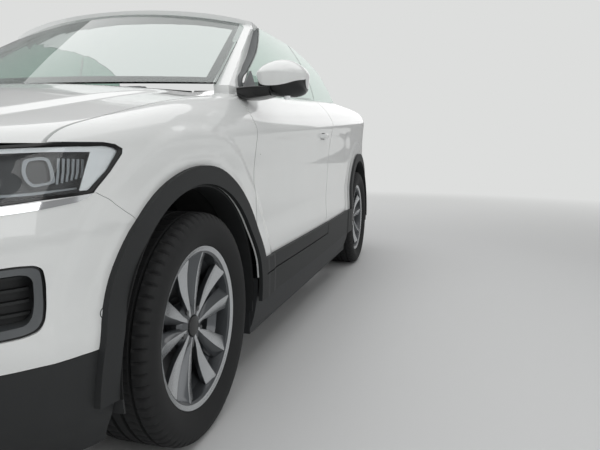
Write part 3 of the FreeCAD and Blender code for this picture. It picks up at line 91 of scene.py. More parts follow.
def grained(name, colour, roughness, pitch, depth, spread=0.04, shade=0.25, **more):
    # a moulded or cast surface: grain of a pitch in mm, its bump, and a little change of tone
    made, tree, shader, output = newMaterial(name, colour, roughness, **more)
    where = position(tree, 1000 / pitch)
    grain = addNode(tree, "TexNoise", {"Vector": where}, Scale=1.0, Detail=3.0, Roughness=0.6)
    bumped(tree, shader, grain.outputs[0], depth)
    rough = addNode(tree, "MapRange", {"Value": grain.outputs[0]}, From_Min=0.3, From_Max=0.7,
                    To_Min=max(roughness - spread, 0.02), To_Max=roughness + spread)
    tree.links.new(rough.outputs[0], shader.inputs["Roughness"])
    broad = addNode(tree, "TexNoise", {"Vector": position(tree, 9)}, Scale=1.0, Detail=4.0)
    dark = [c * (1 - shade) for c in linear(colour)[:3]] + [1.0]
    tone = addNode(tree, "Mix", {"Factor": broad.outputs[0]}, data_type="RGBA")
    for socket, value in (("A", dark), ("B", linear(colour))):
        [s for s in tone.inputs if s.name == socket and s.type == "RGBA"][0].default_value = value
    tree.links.new([s for s in tone.outputs if s.type == "RGBA"][0], shader.inputs["Base Color"])
    return made


# Solid white base coat under a sprayed clear coat: soft white with a sharp gloss over it.
paintWhite = grained("paintWhite", "#E3E5E4", 0.42, pitch=6.0, depth=0.012, spread=0.03, shade=0.03,
                     Coat_Weight=1.0, Coat_Roughness=0.035, Coat_IOR=1.5)
# Polypropylene cladding moulded with a leather-like grain about 1 mm across: dull charcoal.
claddingPlastic = grained("polypropyleneGrained", "#212324", 0.62, pitch=1.6, depth=0.10, shade=0.15)
# ABS moulded in a polished tool: deep gloss black.
glossBlack = grained("absGlossBlack", "#0B0C0D", 0.12, pitch=30, depth=0.01, spread=0.02, shade=0.2)
# EPDM rubber extruded: matte black.
sealRubber = grained("epdmSeal", "#17181A", 0.7, pitch=1.0, depth=0.05, shade=0.2)
# Vulcanised tyre rubber: nearly black with a dusty bloom.
tyreRubber = grained("tyreVulcanised", "#1A1B1C", 0.78, pitch=0.9, depth=0.08, shade=0.25)
# Aluminium wheel: the pockets have a dark metallic lacquer; on the spokes' flanks the same dark colour is painted
# shade over bare alloy.
wheelLacquerAndShade = grained("alloyLacquerGreyAndShade", "#55585B", 0.38, pitch=0.6, depth=0.01, metallic=0.6, shade=0.12,
                       Coat_Weight=0.6, Coat_Roughness=0.08)
# Chromium plated ABS: a clean mirror.
chromePlate = grained("chromePlated", "#D9DBDD", 0.08, pitch=20, depth=0.005, spread=0.02, metallic=1.0,
                      shade=0.02)
# Steel pressings of the body shell, white paint on the car, coloured flat and nearly black: painted shade in the
# gaps.
shellGapShade = grained("steelShellPaintedShade", "#2B2D2F", 0.6, pitch=4, depth=0.03, shade=0.15)
# Axle and subframe steel, dip coated black.
chassisSteel = grained("steelDipCoated", "#1E1F21", 0.5, pitch=3, depth=0.08, shade=0.25)
# Stainless tube dulled by heat, and turned cast iron with a dry grain.
exhaustSteel = grained("stainlessDull", "#8A8783", 0.42, pitch=8, depth=0.02, metallic=0.9, shade=0.3)
castIron = grained("ironTurned", "#6E6F70", 0.35, pitch=1.2, depth=0.03, metallic=0.9, shade=0.25)
# Needled felt swallows light; the cabin's foam-backed skin is soft and satin.
linerFelt = grained("needledFelt", "#121314", 0.95, pitch=1.4, depth=0.5, shade=0.3)
cabinPlastic = grained("softTouchPlastic", "#2A2B2D", 0.66, pitch=1.2, depth=0.08, shade=0.15)
# ABS sprayed in metallic lacquer: satin silver and grey.
satinSilver = grained("absSatinSilver", "#8F9396", 0.32, pitch=0.7, depth=0.01, metallic=0.7, shade=0.05)
satinGrey = grained("absSatinGrey", "#5C5F61", 0.4, pitch=0.8, depth=0.01, metallic=0.4, shade=0.08)
# Extruded rubber left pale, and glass silvered on its back: a clean mirror.
sealGrey = grained("epdmSealGrey", "#5A5D5E", 0.6, pitch=1.0, depth=0.04, shade=0.1)
mirrorGlass = grained("mirrorSilvered", "#C9CDCF", 0.03, pitch=40, depth=0.002, spread=0.01, metallic=1.0,
                      shade=0.02)
# Injection moulded lamp parts: wet-looking lenses, a frosted light guide, a dull housing.
lampLensGlass = grained("lensMoulded", "#15181B", 0.05, pitch=12, depth=0.02, spread=0.02, shade=0.3, ior=1.49,
                        Coat_Weight=1.0, Coat_Roughness=0.02)
lampWhite = grained("lightGuideFrosted", "#F3F5F6", 0.25, pitch=2.5, depth=0.03, shade=0.03, ior=1.49)
lampDark = grained("lampHousing", "#26292C", 0.3, pitch=3, depth=0.02, shade=0.2)
lampRed = grained("acrylicRedLens", "#6E0A0C", 0.12, pitch=4, depth=0.03, spread=0.02, shade=0.3, ior=1.49,
                  Coat_Weight=1.0, Coat_Roughness=0.03)


def wovenCloth(name, colour, pitch, depth, roughness=0.9):
    # a plain weave: two crossed sets of threads, a pitch in mm from thread to thread
    made, tree, shader, output = newMaterial(name, colour, roughness, Sheen_Weight=0.25, Sheen_Roughness=0.5)
    where = position(tree, 1000 / pitch)
    weave = []
    for direction in ("X", "Y"):
        wave = addNode(tree, "TexWave", {"Vector": where}, bands_direction=direction, Scale=0.32,
                       Distortion=0.4)
        weave.append(wave.outputs["Fac"])
    both = addNode(tree, "Math", {0: weave[0], 1: weave[1]}, operation="MULTIPLY")
    bumped(tree, shader, both.outputs[0], depth)
    fleck = addNode(tree, "TexNoise", {"Vector": position(tree, 260)}, Scale=1.0, Detail=2.0)
    ramp = addNode(tree, "ValToRGB", {"Fac": fleck.outputs[0]})
    base = linear(colour)
    ramp.color_ramp.elements[0].position = 0.35
    ramp.color_ramp.elements[0].color = [c * 0.7 for c in base[:3]] + [1]
    ramp.color_ramp.elements[1].position = 0.65
    ramp.color_ramp.elements[1].color = [min(c * 1.25, 1) for c in base[:3]] + [1]
    tree.links.new(ramp.outputs[0], shader.inputs["Base Color"])
    return made


# Seat cloth woven from thick yarn, and the top's acrylic cloth with a finer weave.
seatCloth = wovenCloth("seatClothWoven", "#4A4C4E", 2.6, 0.35)
topCloth = wovenCloth("acrylicTopCloth", "#191A1C", 1.8, 0.25)


def glassSheet(name, colour, roughness=0.0, ior=1.5):
    # float glass; light falls through it as through a clear tinted sheet
    made, tree, shader, output = newMaterial(name, colour, roughness, ior=ior, Transmission_Weight=1.0)
    ripple = addNode(tree, "TexNoise", {"Vector": position(tree, 7)}, Scale=1.0, Detail=1.0)
    bumped(tree, shader, ripple.outputs[0], 0.05, 0.3)
    clear = addNode(tree, "BsdfTransparent", Color=linear(colour))
    ray = addNode(tree, "LightPath")
    mixed = addNode(tree, "MixShader", {0: ray.outputs["Is Shadow Ray"], 1: shader.outputs[0],
                                        2: clear.outputs[0]})
    tree.links.new(mixed.outputs[0], output.inputs["Surface"])
    return made


glassScreen = glassSheet("glassLaminated", "#E4EDEA")
glassSide = glassSheet("glassTempered", "#A9C4B8")
lampCover = glassSheet("polycarbonateClear", "#F2F4F5", ior=1.45)


def turnedAlloy():
    # face of the wheel cut on a lathe: fine rings about the axle over bare aluminium
    made, tree, shader, output = newMaterial("alloyDiamondTurned", "#C6C8CA", 0.26, metallic=1.0)
    place = addNode(tree, "TexCoord")
    rings = addNode(tree, "TexWave", {"Vector": place.outputs["Object"]}, wave_type="RINGS",
                    rings_direction="X", Scale=180.0, Distortion=0.2)
    bumped(tree, shader, rings.outputs["Fac"], 0.02, 0.5)
    tone = addNode(tree, "MapRange", {"Value": rings.outputs["Fac"]}, To_Min=0.22, To_Max=0.34)
    tree.links.new(tone.outputs[0], shader.inputs["Roughness"])
    return made


alloyTurned = turnedAlloy()
print("materials made")

# The painted form, in mm.

car = dict(length=4268.0, width=1811.0, cladding=14.0, wheelbase=2630.0, overhang=830.0, axleHeight=334.0,
           archInner=415.0, archOuter=467.0)
halfLength = car["length"] / 2
skinHalf = car["width"] / 2 - car["cladding"]
frontAxle = -halfLength + car["overhang"]
rearAxle = frontAxle + car["wheelbase"]

# height, rise to the rear, inset of the side, nose back, tail forward
levels = np.array([(-60, 0.000, 46, 120, 110), (165, 0.000, 46, 120, 110), (300, 0.000, 6, 34, 28),
                   (440, 0.000, 2, 4, 4), (600, 0.010, 16, 0, 0), (780, 0.030, 18, 24, 14),
                   (900, 0.050, 7, 74, 38), (945, 0.050, 2, 99, 46), (1000, 0.050, 23, 139, 54),
                   (1050, 0.050, 63, 184, 64), (1095, 0.050, 111, 244, 79), (1150, 0.050, 190, 340, 110),
                   (1250, 0.050, 360, 560, 190), (1400, 0.05, 700, 900, 400)], float)
# y, height in the middle, height at the far sides
crowns = np.array([(-2300, 740, 600), (-2080, 845, 735), (-1900, 915, 822), (-1600, 972, 897),
                   (-1300, 1028, 953), (-1000, 1072, 988), (-700, 1086, 1040), (0, 1116, 1076),
                   (900, 1158, 1118), (1500, 1150, 1106), (2000, 1112, 1056), (2300, 1060, 990)], float)
form = dict(sideSweep=42000.0, noseSweep=1900.0, tailSweep=2600.0, noseBlend=385.0, tailBlend=480.0,
            shoulderBlend=46.0, outward=1.5, crownHalf=1000.0)


def through(knots, values, at):
    # smooth curve through the knots that doesn't overshoot
    knots, values = np.asarray(knots, float), np.asarray(values, float)
    step = np.diff(knots)
    slope = np.diff(values) / step
    tangent = np.zeros(len(knots))
    same = slope[:-1] * slope[1:] > 0
    left, right = 2 * step[1:] + step[:-1], step[1:] + 2 * step[:-1]
    with np.errstate(divide="ignore", invalid="ignore"):
        mean = (left + right) / (left / slope[:-1] + right / slope[1:])
    tangent[1:-1][same] = mean[same]
    tangent[0], tangent[-1] = slope[0], slope[-1]
    at = np.clip(at, knots[0], knots[-1])
    cell = np.clip(np.searchsorted(knots, at, side="right") - 1, 0, len(knots) - 2)
    t = (at - knots[cell]) / step[cell]
    return (values[cell] * (1 + 2 * t) * (1 - t) ** 2 + values[cell + 1] * t * t * (3 - 2 * t)
            + step[cell] * (tangent[cell] * t * (1 - t) ** 2 - tangent[cell + 1] * t * t * (1 - t)))


def greater(a, b, blend):
    # the larger of two, rounded over where they meet
    near = np.clip(blend - np.abs(a - b), 0, None) / blend
    return np.maximum(a, b) + near ** 3 * blend / 6


def ramp(value, start, end):
    t = np.clip((value - start) / (end - start), 0, 1)
    return t * t * (3 - 2 * t)


blister = dict(rise=7.0, edge=588.0, rearLess=20.0, soft=34.0, lip=3.0, lipEdge=506.0, lipSoft=26.0)
sideCrease = dict(depth=4.0, height=943.0, slope=0.05, soft=44.0, fadeLow=330.0, fadeHigh=60.0,
                  starts=(-800.0, -560.0), ends=(820.0, 1000.0))
bumperCrease = dict(step=5.0, height=672.0, middle=753.0, slope=0.12, below=18.0, above=8.0,
                    foot=(440.0, 520.0), ends=(-1700.0, -1560.0))
bonnetBulge = dict(rise=9.0, starts=(-2250.0, -1900.0), ends=(-1150.0, -950.0), half=560.0, foremost=-2000.0,
                   slope=0.085, soft=26.0)


def sideRelief(y, z):
    # raised blisters and lips about the wheels, and the crease along the doors
    out = np.zeros_like(y)
    for axle, edge in ((frontAxle, blister["edge"]), (rearAxle, blister["edge"] - blister["rearLess"])):
        reach = np.hypot(y - axle, z - car["axleHeight"])
        out = np.maximum(out, blister["rise"] * (1 - ramp(reach, edge - blister["soft"], edge))
                         + blister["lip"] * (1 - ramp(reach, blister["lipEdge"] - blister["lipSoft"],
                                                      blister["lipEdge"])))
    edge = sideCrease["height"] + sideCrease["slope"] * y
    along = ramp(y, *sideCrease["starts"]) * (1 - ramp(y, *sideCrease["ends"]))
    across = ((1 - ramp(z, edge - sideCrease["soft"], edge))
              * ramp(z, edge - sideCrease["fadeLow"], edge - sideCrease["fadeHigh"]))
    return out - sideCrease["depth"] * across * along


def envelope(p, grow=0.0):
    # below zero inside the painted form, above it outside, about in mm
    x, y, z = np.abs(p[..., 0]), p[..., 1], p[..., 2]
    h = z.copy()
    for again in range(3):
        h = z - through(levels[:, 0], levels[:, 1], h) * y
    inset, noseBack, tailForward = (through(levels[:, 0], levels[:, column], h) for column in (2, 3, 4))
    half = skinHalf - inset + grow + sideRelief(y, z) + form["outward"]
    noseY = -halfLength + noseBack - grow
    tailY = halfLength - tailForward + grow
    side = np.hypot(x - (half - form["sideSweep"]), y) - form["sideSweep"]
    front = np.hypot(x, np.minimum(y - (noseY + form["noseSweep"]), 0)) - form["noseSweep"]
    rear = np.hypot(x, np.maximum(y - (tailY - form["tailSweep"]), 0)) - form["tailSweep"]
    around = greater(greater(side, front, form["noseBlend"]), rear, form["tailBlend"])
    crease = bumperCrease["height"] + (x - bumperCrease["middle"]) * bumperCrease["slope"]
    step = 1 - ramp(z, crease - bumperCrease["below"], crease + bumperCrease["above"])
    around = around + (bumperCrease["step"] * step * ramp(z, *bumperCrease["foot"])
                       * (1 - ramp(y, *bumperCrease["ends"])))
    middle, edge = (through(crowns[:, 0], crowns[:, column], y) for column in (1, 2))
    top = z - (middle - (middle - edge) * (x / form["crownHalf"]) ** 2 + grow)
    bulge = ramp(y, *bonnetBulge["starts"]) * (1 - ramp(y, *bonnetBulge["ends"]))
    line = bonnetBulge["half"] + (y - bonnetBulge["foremost"]) * bonnetBulge["slope"]
    top = top - bonnetBulge["rise"] * bulge * (1 - ramp(x, line - bonnetBulge["soft"],
                                                        line + bonnetBulge["soft"]))
    return greater(around, top, form["shoulderBlend"])


def cast(origin, direction, grow, far=1700.0):
    # the point on the form along each ray, by halving
    low, high = np.zeros(origin.shape[:-1]), np.full(origin.shape[:-1], far)
    for turn in range(26):
        mid = (low + high) / 2
        inside = envelope(origin + direction * mid[..., None], grow) < 0
        low, high = np.where(inside, mid, low), np.where(inside, high, mid)
    return origin + direction * high[..., None]


def skinPoint(origin, direction):
    # the point on the painted form along one ray
    return cast(np.array(origin, float), np.array(direction, float), 0.0)


def gradient(p, grow=0.0):
    slope = np.zeros_like(p)
    for axis in range(3):
        step = np.zeros(3)
        step[axis] = 1.0
        slope[..., axis] = envelope(p + step, grow) - envelope(p - step, grow)
    return slope / np.maximum(np.linalg.norm(slope, axis=-1, keepdims=True), 1e-9)


def meshObject(name, points, faces, scale=mm):
    mesh = bpy.data.meshes.new(name)
    mesh.from_pydata([tuple(p) for p in np.asarray(points, float) * scale], [],
                     [tuple(int(i) for i in f) for f in faces])
    mesh.validate()
    made = bpy.data.objects.new(name, mesh)
    scene.collection.objects.link(made)
    return made


def reshaped(piece, change):
    # the piece after a change made to its mesh as a bmesh
    shape = bmesh.new()
    shape.from_mesh(piece.data)
    change(shape)
    shape.to_mesh(piece.data)
    shape.free()
    return piece


def outwards(shape):
    bmesh.ops.recalc_face_normals(shape, faces=shape.faces)


def splitCaps(shape):
    # end caps of many corners become triangles, and all faces look outwards
    bmesh.ops.triangulate(shape, faces=[f for f in shape.faces if len(f.verts) > 4])
    outwards(shape)


def applied(piece):
    # the piece with its modifiers taken into its mesh
    made = bpy.data.meshes.new_from_object(piece.evaluated_get(bpy.context.evaluated_depsgraph_get()))
    piece.modifiers.clear()
    old, piece.data = piece.data, made
    bpy.data.meshes.remove(old)
    return piece


def gridFaces(rows, columns, start=0, flip=False):
    r, c = np.meshgrid(np.arange(rows - 1), np.arange(columns - 1), indexing="ij")
    a = start + r * columns + c
    faces = np.stack([a, a + 1, a + columns + 1, a + columns], -1).reshape(-1, 4)
    return faces[:, ::-1] if flip else faces


def wallBetween(name, outer, inner):
    # a closed solid between two grids of the same size
    rows, columns = outer.shape[:2]
    count = rows * columns
    border = ([(0, c) for c in range(columns)] + [(r, columns - 1) for r in range(1, rows)]
              + [(rows - 1, c) for c in range(columns - 2, -1, -1)] + [(r, 0) for r in range(rows - 2, 0, -1)])
    index = np.array([r * columns + c for r, c in border])
    after = np.roll(index, -1)
    rim = np.stack([index, index + count, after + count, after], -1)
    faces = np.concatenate([gridFaces(rows, columns), gridFaces(rows, columns, count, True), rim])
    made = meshObject(name, np.concatenate([outer.reshape(-1, 3), inner.reshape(-1, 3)]), faces)
    return reshaped(made, outwards)


# the rounded core that the rays start from, and the radius of its corners out at the skin
spine = dict(x=300.0, front=-1430.0, rear=1430.0, z=470.0, turn=620.0, corner=640.0, tilt=600.0)


def beltRays(stations, tilts):
    # rays from a long rounded core: stations are (x, y, bearing), tilts are angles above the level
    s = np.array(stations)
    bearing = np.radians(s[:, 2])[:, None]
    tilt = np.radians(np.array(tilts))[None, :]
    wide = (len(s), tilt.size)
    origin = np.stack([np.broadcast_to(s[:, 0:1], wide), np.broadcast_to(s[:, 1:2], wide),
                       np.full(wide, spine["z"])], -1)
    direction = np.stack([np.cos(bearing) * np.cos(tilt), np.sin(bearing) * np.cos(tilt),
                          np.broadcast_to(np.sin(tilt), wide)], -1)
    return origin, direction


def sideStations(first, last, pitch=12.0):
    # along the left side from y first to y last, turning the corners beyond the core's ends
    found = []
    turn = math.degrees(pitch / spine["turn"])
    if first < spine["front"]:
        limit = math.degrees(math.asin(min(1, (spine["front"] - first) / spine["corner"])))
        found += [(spine["x"], spine["front"], turn * n - 90) for n in range(int(90 / turn))
                  if turn * n - 90 > -limit]
    start, end = max(first, spine["front"]), min(last, spine["rear"])
    count = max(int((end - start) / pitch), 2)
    found += [(spine["x"], start + (end - start) * n / count, 0) for n in range(count + 1)]
    if last > spine["rear"]:
        limit = math.degrees(math.asin(min(1, (last - spine["rear"]) / spine["corner"])))
        found += [(spine["x"], spine["rear"], turn * n) for n in range(1, int(90 / turn)) if turn * n < limit]
    return found


def endStations(facing, reach, pitch=13.0):
    # across the nose (facing -1) or the tail (1), round both corners and some way along the sides
    core = spine["front"] if facing < 0 else spine["rear"]
    turn = math.degrees(pitch / spine["turn"])
    half = [(x, core, 90 * facing) for x in np.linspace(0, spine["x"], int(spine["x"] / pitch))]
    half += [(spine["x"], core, (90 - turn * n) * facing) for n in range(1, int(90 / turn))]
    half += [(spine["x"], core - facing * d, 0) for d in np.arange(0, reach, pitch)]
    other = [(-x, y, 180 - b) for x, y, b in half[1:]][::-1]
    return other + half


def belt(name, stations, low, high, depth, grow=0.0, pitch=12.0):
    tilts = np.arange(low, high + 0.01, math.degrees(pitch / spine["tilt"]))
    origin, direction = beltRays(stations, tilts)
    return wallBetween(name, cast(origin, direction, grow), cast(origin, direction, grow - depth))


def lid(name, xHalf, first, last, core, depth, pitch=12.0, grow=0.0):
    # rays that fan upwards from below, for the bonnet, the deck and the boot lid
    xs = np.linspace(-xHalf, xHalf, int(2 * xHalf / pitch) + 1)
    ys = np.linspace(first, last, int((last - first) / pitch) + 1)
    gx, gy = np.meshgrid(xs, ys)
    target = np.stack([gx, gy, np.full_like(gx, 900.0)], -1)
    origin = np.stack([gx * 0.72, core + (gy - core) * 0.5, np.full_like(gx, 350.0)], -1)
    direction = target - origin
    direction /= np.linalg.norm(direction, axis=-1, keepdims=True)
    return wallBetween(name, cast(origin, direction, grow), cast(origin, direction, grow - depth))


def softened(outline, radius):
    # the outline with each corner rounded by up to the radius
    pts = [Vector(p) for p in outline]
    found = []
    for i, p in enumerate(pts):
        before, after = pts[i - 1], pts[(i + 1) % len(pts)]
        r = min(radius, (before - p).length * 0.45, (after - p).length * 0.45)
        a, b = p + (before - p).normalized() * r, p + (after - p).normalized() * r
        found += [a.lerp(p, t).lerp(p.lerp(b, t), t) for t in np.linspace(0, 1, 6)]
    return [tuple(p) for p in found]


def prism(outline, axis, first, last):
    # a solid bar with the outline as its section, along an axis
    count = len(outline)
    area = sum(outline[i - 1][0] * outline[i][1] - outline[i][0] * outline[i - 1][1] for i in range(count))
    if area < 0:
        outline = outline[::-1]
    points = []
    for depth in (first, last):
        for a, b in outline:
            points.append({"X": (depth, a, b), "Y": (a, depth, b), "Z": (a, b, depth)}[axis])
    sides = [(i, (i + 1) % count, (i + 1) % count + count, i + count) for i in range(count)]
    made = meshObject("tool", points, [tuple(range(count))[::-1], tuple(range(count, 2 * count))] + sides)
    return reshaped(made, splitCaps)


def block(low, high, axis, first, last):
    # a bar with a rectangle as its section, from its low corner to its high one
    return prism([low, (high[0], low[1]), high, (low[0], high[1])], axis, first, last)


def circle(centre, radius, count, other=None):
    # points round a circle, or an ellipse with another radius along the second axis
    return [(centre[0] + radius * math.cos(a), centre[1] + (other or radius) * math.sin(a))
            for a in np.linspace(0, 2 * math.pi, count, endpoint=False)]


leftSide = (300, 1200)
bothFlanks = (-1200, 1200)
inFront = (-2300, -1300)


def archCut(axle, radius=car["archInner"], reach=leftSide):
    # a round bar along X that opens a wheel arch
    return prism(circle((axle, car["axleHeight"]), radius, 96), "X", *reach)


def carve(solid, keep=(), remove=()):
    # the solid inside every keep and outside every remove; the tools are used up
    for operation, tools in (("INTERSECT", keep), ("DIFFERENCE", remove)):
        for tool in tools:
            cutter = solid.modifiers.new("cut", "BOOLEAN")
            cutter.operation, cutter.solver, cutter.object = operation, "MANIFOLD", tool
    applied(solid)
    for tool in list(keep) + list(remove):
        bpy.data.objects.remove(tool)
    return solid


def skinNormals(piece, grow=0.0):
    # faces on the form take the form's own normals, so that reflections run true
    mesh = piece.data
    co = np.zeros(len(mesh.vertices) * 3)
    mesh.vertices.foreach_get("co", co)
    co = co.reshape(-1, 3) / mm
    count = len(mesh.polygons)
    centre, face = np.zeros(count * 3), np.zeros(count * 3)
    mesh.polygons.foreach_get("center", centre)
    mesh.polygons.foreach_get("normal", face)
    centre, face = centre.reshape(-1, 3) / mm, face.reshape(-1, 3)
    slope = gradient(co, grow)
    onSkin = (np.abs(envelope(centre, grow)) < 1.2) & ((gradient(centre, grow) * face).sum(-1) > 0.7)
    starts, totals = np.zeros(count, int), np.zeros(count, int)
    mesh.polygons.foreach_get("loop_start", starts)
    mesh.polygons.foreach_get("loop_total", totals)
    vertex = np.zeros(len(mesh.loops), int)
    mesh.loops.foreach_get("vertex_index", vertex)
    owner = np.repeat(np.arange(count), totals)
    normals = np.where(onSkin[owner][:, None], slope[vertex], face[owner])
    mesh.shade_smooth()
    mesh.normals_split_custom_set([tuple(n) for n in normals])


def joinAll(name, parts):
    # several pieces become one, keeping their materials
    if len(parts) > 1:
        with bpy.context.temp_override(active_object=parts[0], selected_editable_objects=parts,
                                       object=parts[0]):
            bpy.ops.object.join()
    parts[0].name = name
    return parts[0]


def coat(piece, *materials):
    piece.data.materials.clear()
    for material in materials:
        piece.data.materials.append(material)


def dress(piece, material, body, replaced=()):
    # without a material the piece keeps its own
    if material:
        coat(piece, material)
    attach(piece, body)
    if replaced:
        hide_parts(*replaced)
    return piece


def mirrored(piece, name):
    # the same piece on the right of the car
    made = piece.copy()
    made.data = piece.data.copy()
    made.name = name
    scene.collection.objects.link(made)
    made.parent = None

    def turnOver(shape):
        bmesh.ops.scale(shape, vec=(-1, 1, 1), verts=shape.verts)
        bmesh.ops.reverse_faces(shape, faces=shape.faces)
    return reshaped(made, turnOver)


def bothSides(build, name, material, nodes=(), body="body", skin=None):
    # a left piece and its mirror image on the right; {} in the name of a body or node stands for the side,
    # and skin tells how far the outer face stands off the painted form
    pieces = [build(name + "Left")]
    pieces.append(mirrored(pieces[0], name + "Right"))
    for piece, side in zip(pieces, ("left", "right")):
        if skin is not None:
            skinNormals(piece, skin)
        dress(piece, material, body.format(side), [node.format(side) for node in nodes])
    return pieces


def finishPanel(piece, material, body, node):
    skinNormals(piece)
    dress(piece, material, body, [node])


# Shut lines and panels.

shut = dict(gap=5.0, seam=1.6, lampTop=860.0, bumperLow=430.0, bootFront=1625.0, bootSplit=1850.0,
            bootHalf=560.0)
doorOutline = [(-865, 392), (-865, 1300), (356, 1300), (349, 1010), (340, 920), (304, 790), (223, 572),
               (164, 392)]


def bonnetPlan(extra):
    side = [(766, -968), (778, -1125), (781, -1510), (780, -1664), (770, -1880), (770, -2300)]
    left = [(x + extra, y + (extra if n == 0 else 0)) for n, (x, y) in enumerate(side)]
    rear = [(x, -1072 + 104 * (x / 766) ** 2 + extra) for x in np.linspace(-740, 740, 40)]
    right = [(-x, y) for x, y in reversed(left)]
    return left + right + rear


lampAxis = dict(turn=44.0, tipX=852.0, tipY=-1652.0, depth=600.0)


def slantPrism(outline, corner=0.0, first=200, last=1500):
    # a bar whose section (along, height) lies across the car's front corner; along runs back to the lamp's tip
    turn = math.radians(lampAxis["turn"])
    along, into = Vector((math.cos(turn), math.sin(turn), 0)), Vector((-math.sin(turn), math.cos(turn), 0))
    made = prism(softened(outline, corner) if corner else outline, "Y", first, last)
    for vertex in made.data.vertices:
        s, d, z = vertex.co / mm
        spot = Vector((lampAxis["tipX"], lampAxis["tipY"], 0)) + along * s + into * (d - lampAxis["depth"])
        vertex.co = Vector((spot.x, spot.y, z)) * mm
    return made


lamp = dict(ribs=6, ribPitch=9.6)
lampOutline = [(-600, 844), (-420, 849), (-235, 855), (-176, 859), (-141, 861), (-41, 861), (-15, 857),
               (1, 848), (-1, 838), (-31, 800), (-63, 768), (-71, 758), (-105, 755), (-178, 751), (-243, 745),
               (-420, 740), (-600, 738)]
lampInner = [(-600, 838), (-420, 843), (-235, 850), (-141, 855), (-41, 855), (-19, 851), (-9, 844), (-38, 802),
             (-80, 762), (-106, 760), (-178, 756), (-243, 750), (-420, 745), (-600, 743)]


def lampClear():
    # the opening for the lamp, a seam's width larger than it
    seam = shut["seam"]
    above = [(s, z + (seam if z > 800 else -seam)) for s, z in lampOutline[:7]]
    below = [(s, z - seam) for s, z in lampOutline[12:]]
    return slantPrism(above + [(2.6, 849), (1, 837), (-29, 799), (-61, 766), (-69, 756.4)] + below)


def flipped(tool):
    # the same tool or piece for the right of the car, turned over in place
    tool.data.transform(Matrix.Scale(-1, 4, (1, 0, 0)))
    tool.data.flip_normals()
    return tool


fogHole = [(-470, 626), (-300, 628), (-223, 630), (-192, 627), (-178, 618), (-174, 590), (-176, 541),
           (-181, 513), (-193, 497), (-218, 491), (-300, 488), (-470, 486)]
fogRing = [(-466, 621), (-300, 623), (-222, 625), (-194, 622), (-184, 614), (-181, 590), (-182, 542),
           (-186, 516), (-197, 502), (-219, 496), (-300, 493), (-466, 491)]
fogMouth = [(-452, 607), (-300, 611), (-219, 612), (-204, 608), (-197, 596), (-197, 556), (-202, 528),
            (-214, 513), (-300, 508), (-452, 506)]

seamLine = [(-1717, 757), (-1690, 742), (-1668, 726), (-1626, 700), (-1585, 671), (-1550, 640)]


def fender(name):
    edge = -865 - shut["gap"]
    outline = [(edge, 387), (edge, 1300), (-2150, 1300), (-2150, 760)] + seamLine + [(-1550, 387)]
    solid = belt(name, sideStations(-2010, -840, 10), -18, 74, 6, pitch=10)
    return carve(solid, [prism(outline, "X", *leftSide)], [
        prism(bonnetPlan(shut["gap"]), "Z", shut["lampTop"] - 30, 1400), archCut(frontAxle), lampClear(),
        block((0, -1300), (690, 0), "Z", 600, 1300), block((0, -2300), (484, -1500), "Z", 600, 1300)])


def doorSkin(name):
    solid = belt(name, sideStations(-880, 372, 11), -14, 60, 12, pitch=10)
    return carve(solid, [prism(softened(doorOutline, 40), "X", *leftSide)])


def doorBox(name):
    outline = [(-790, 406), (-790, 900), (-745, 1000), (-700, 1300), (330, 1300), (320, 1000), (315, 920),
               (279, 790), (198, 572), (139, 406)]
    solid = belt(name, sideStations(-800, 340, 20), -14, 70, 116, grow=-11.5, pitch=20)
    return carve(solid, [prism(softened(outline, 30), "X", 690, 1200)])


bothSides(fender, "fender", paintWhite, ["front_fenders"], skin=0)
print("fenders made")
bothSides(doorSkin, "doorSkin", paintWhite, ["door_{}"], "door_{}", 0)
bothSides(doorBox, "doorBox", cabinPlastic, ["door_{}"], "door_{}", -11.5)
print("doors made")


def quarter(name):
    front = [(372, 1300), (358, 1010), (349, 918), (312, 787), (231, 569), (172, 387)]
    outline = [(y - 8 + shut["gap"], z) for y, z in front]
    outline += [(1790, 387), (1790, 740), (2300, 740), (2300, 1300)]
    tail = [(1848, 890), (1878, 987), (2300, 987), (2300, 848), (1908, 848)]
    solid = belt(name, sideStations(140, 2080, 11), -14, 84, 6, pitch=10)
    return carve(solid, [prism(softened(outline, 3), "X", *leftSide)], [
        archCut(rearAxle), block((0, 0), (700, shut["bootFront"] - 14), "Z", 600, 1300),
        block((-10, 1500), (shut["bootHalf"] + shut["gap"], 2300), "Z", 600, 1300),
        prism(softened(tail, 12), "X", *leftSide)])


bothSides(quarter, "quarter", paintWhite, ["quarter_panels"], skin=0)
print("quarters made")

bonnetSkin = lid("bonnetSkin", 800, -2120, -940, -1500, 22)
carve(bonnetSkin, [prism(bonnetPlan(0), "Z", shut["lampTop"], 1400)])
finishPanel(bonnetSkin, paintWhite, "bonnet", "bonnet")


def endPanel(name, facing, outline, material, node, openings=()):
    # a panel across the nose (facing -1) or the tail (1), cut to an outline in the side view
    solid = belt(name, endStations(facing, 330), -34, 34, 12, pitch=11)
    axle = frontAxle if facing < 0 else rearAxle
    carve(solid, [prism(outline, "X", *bothFlanks)], [*openings, archCut(axle, reach=bothFlanks)])
    finishPanel(solid, material, "body", node)


def grilleOpening():
    return prism(softened([(-430, 300), (-430, 470), (430, 470), (430, 300)], 25), "Y", -2300, -1900)


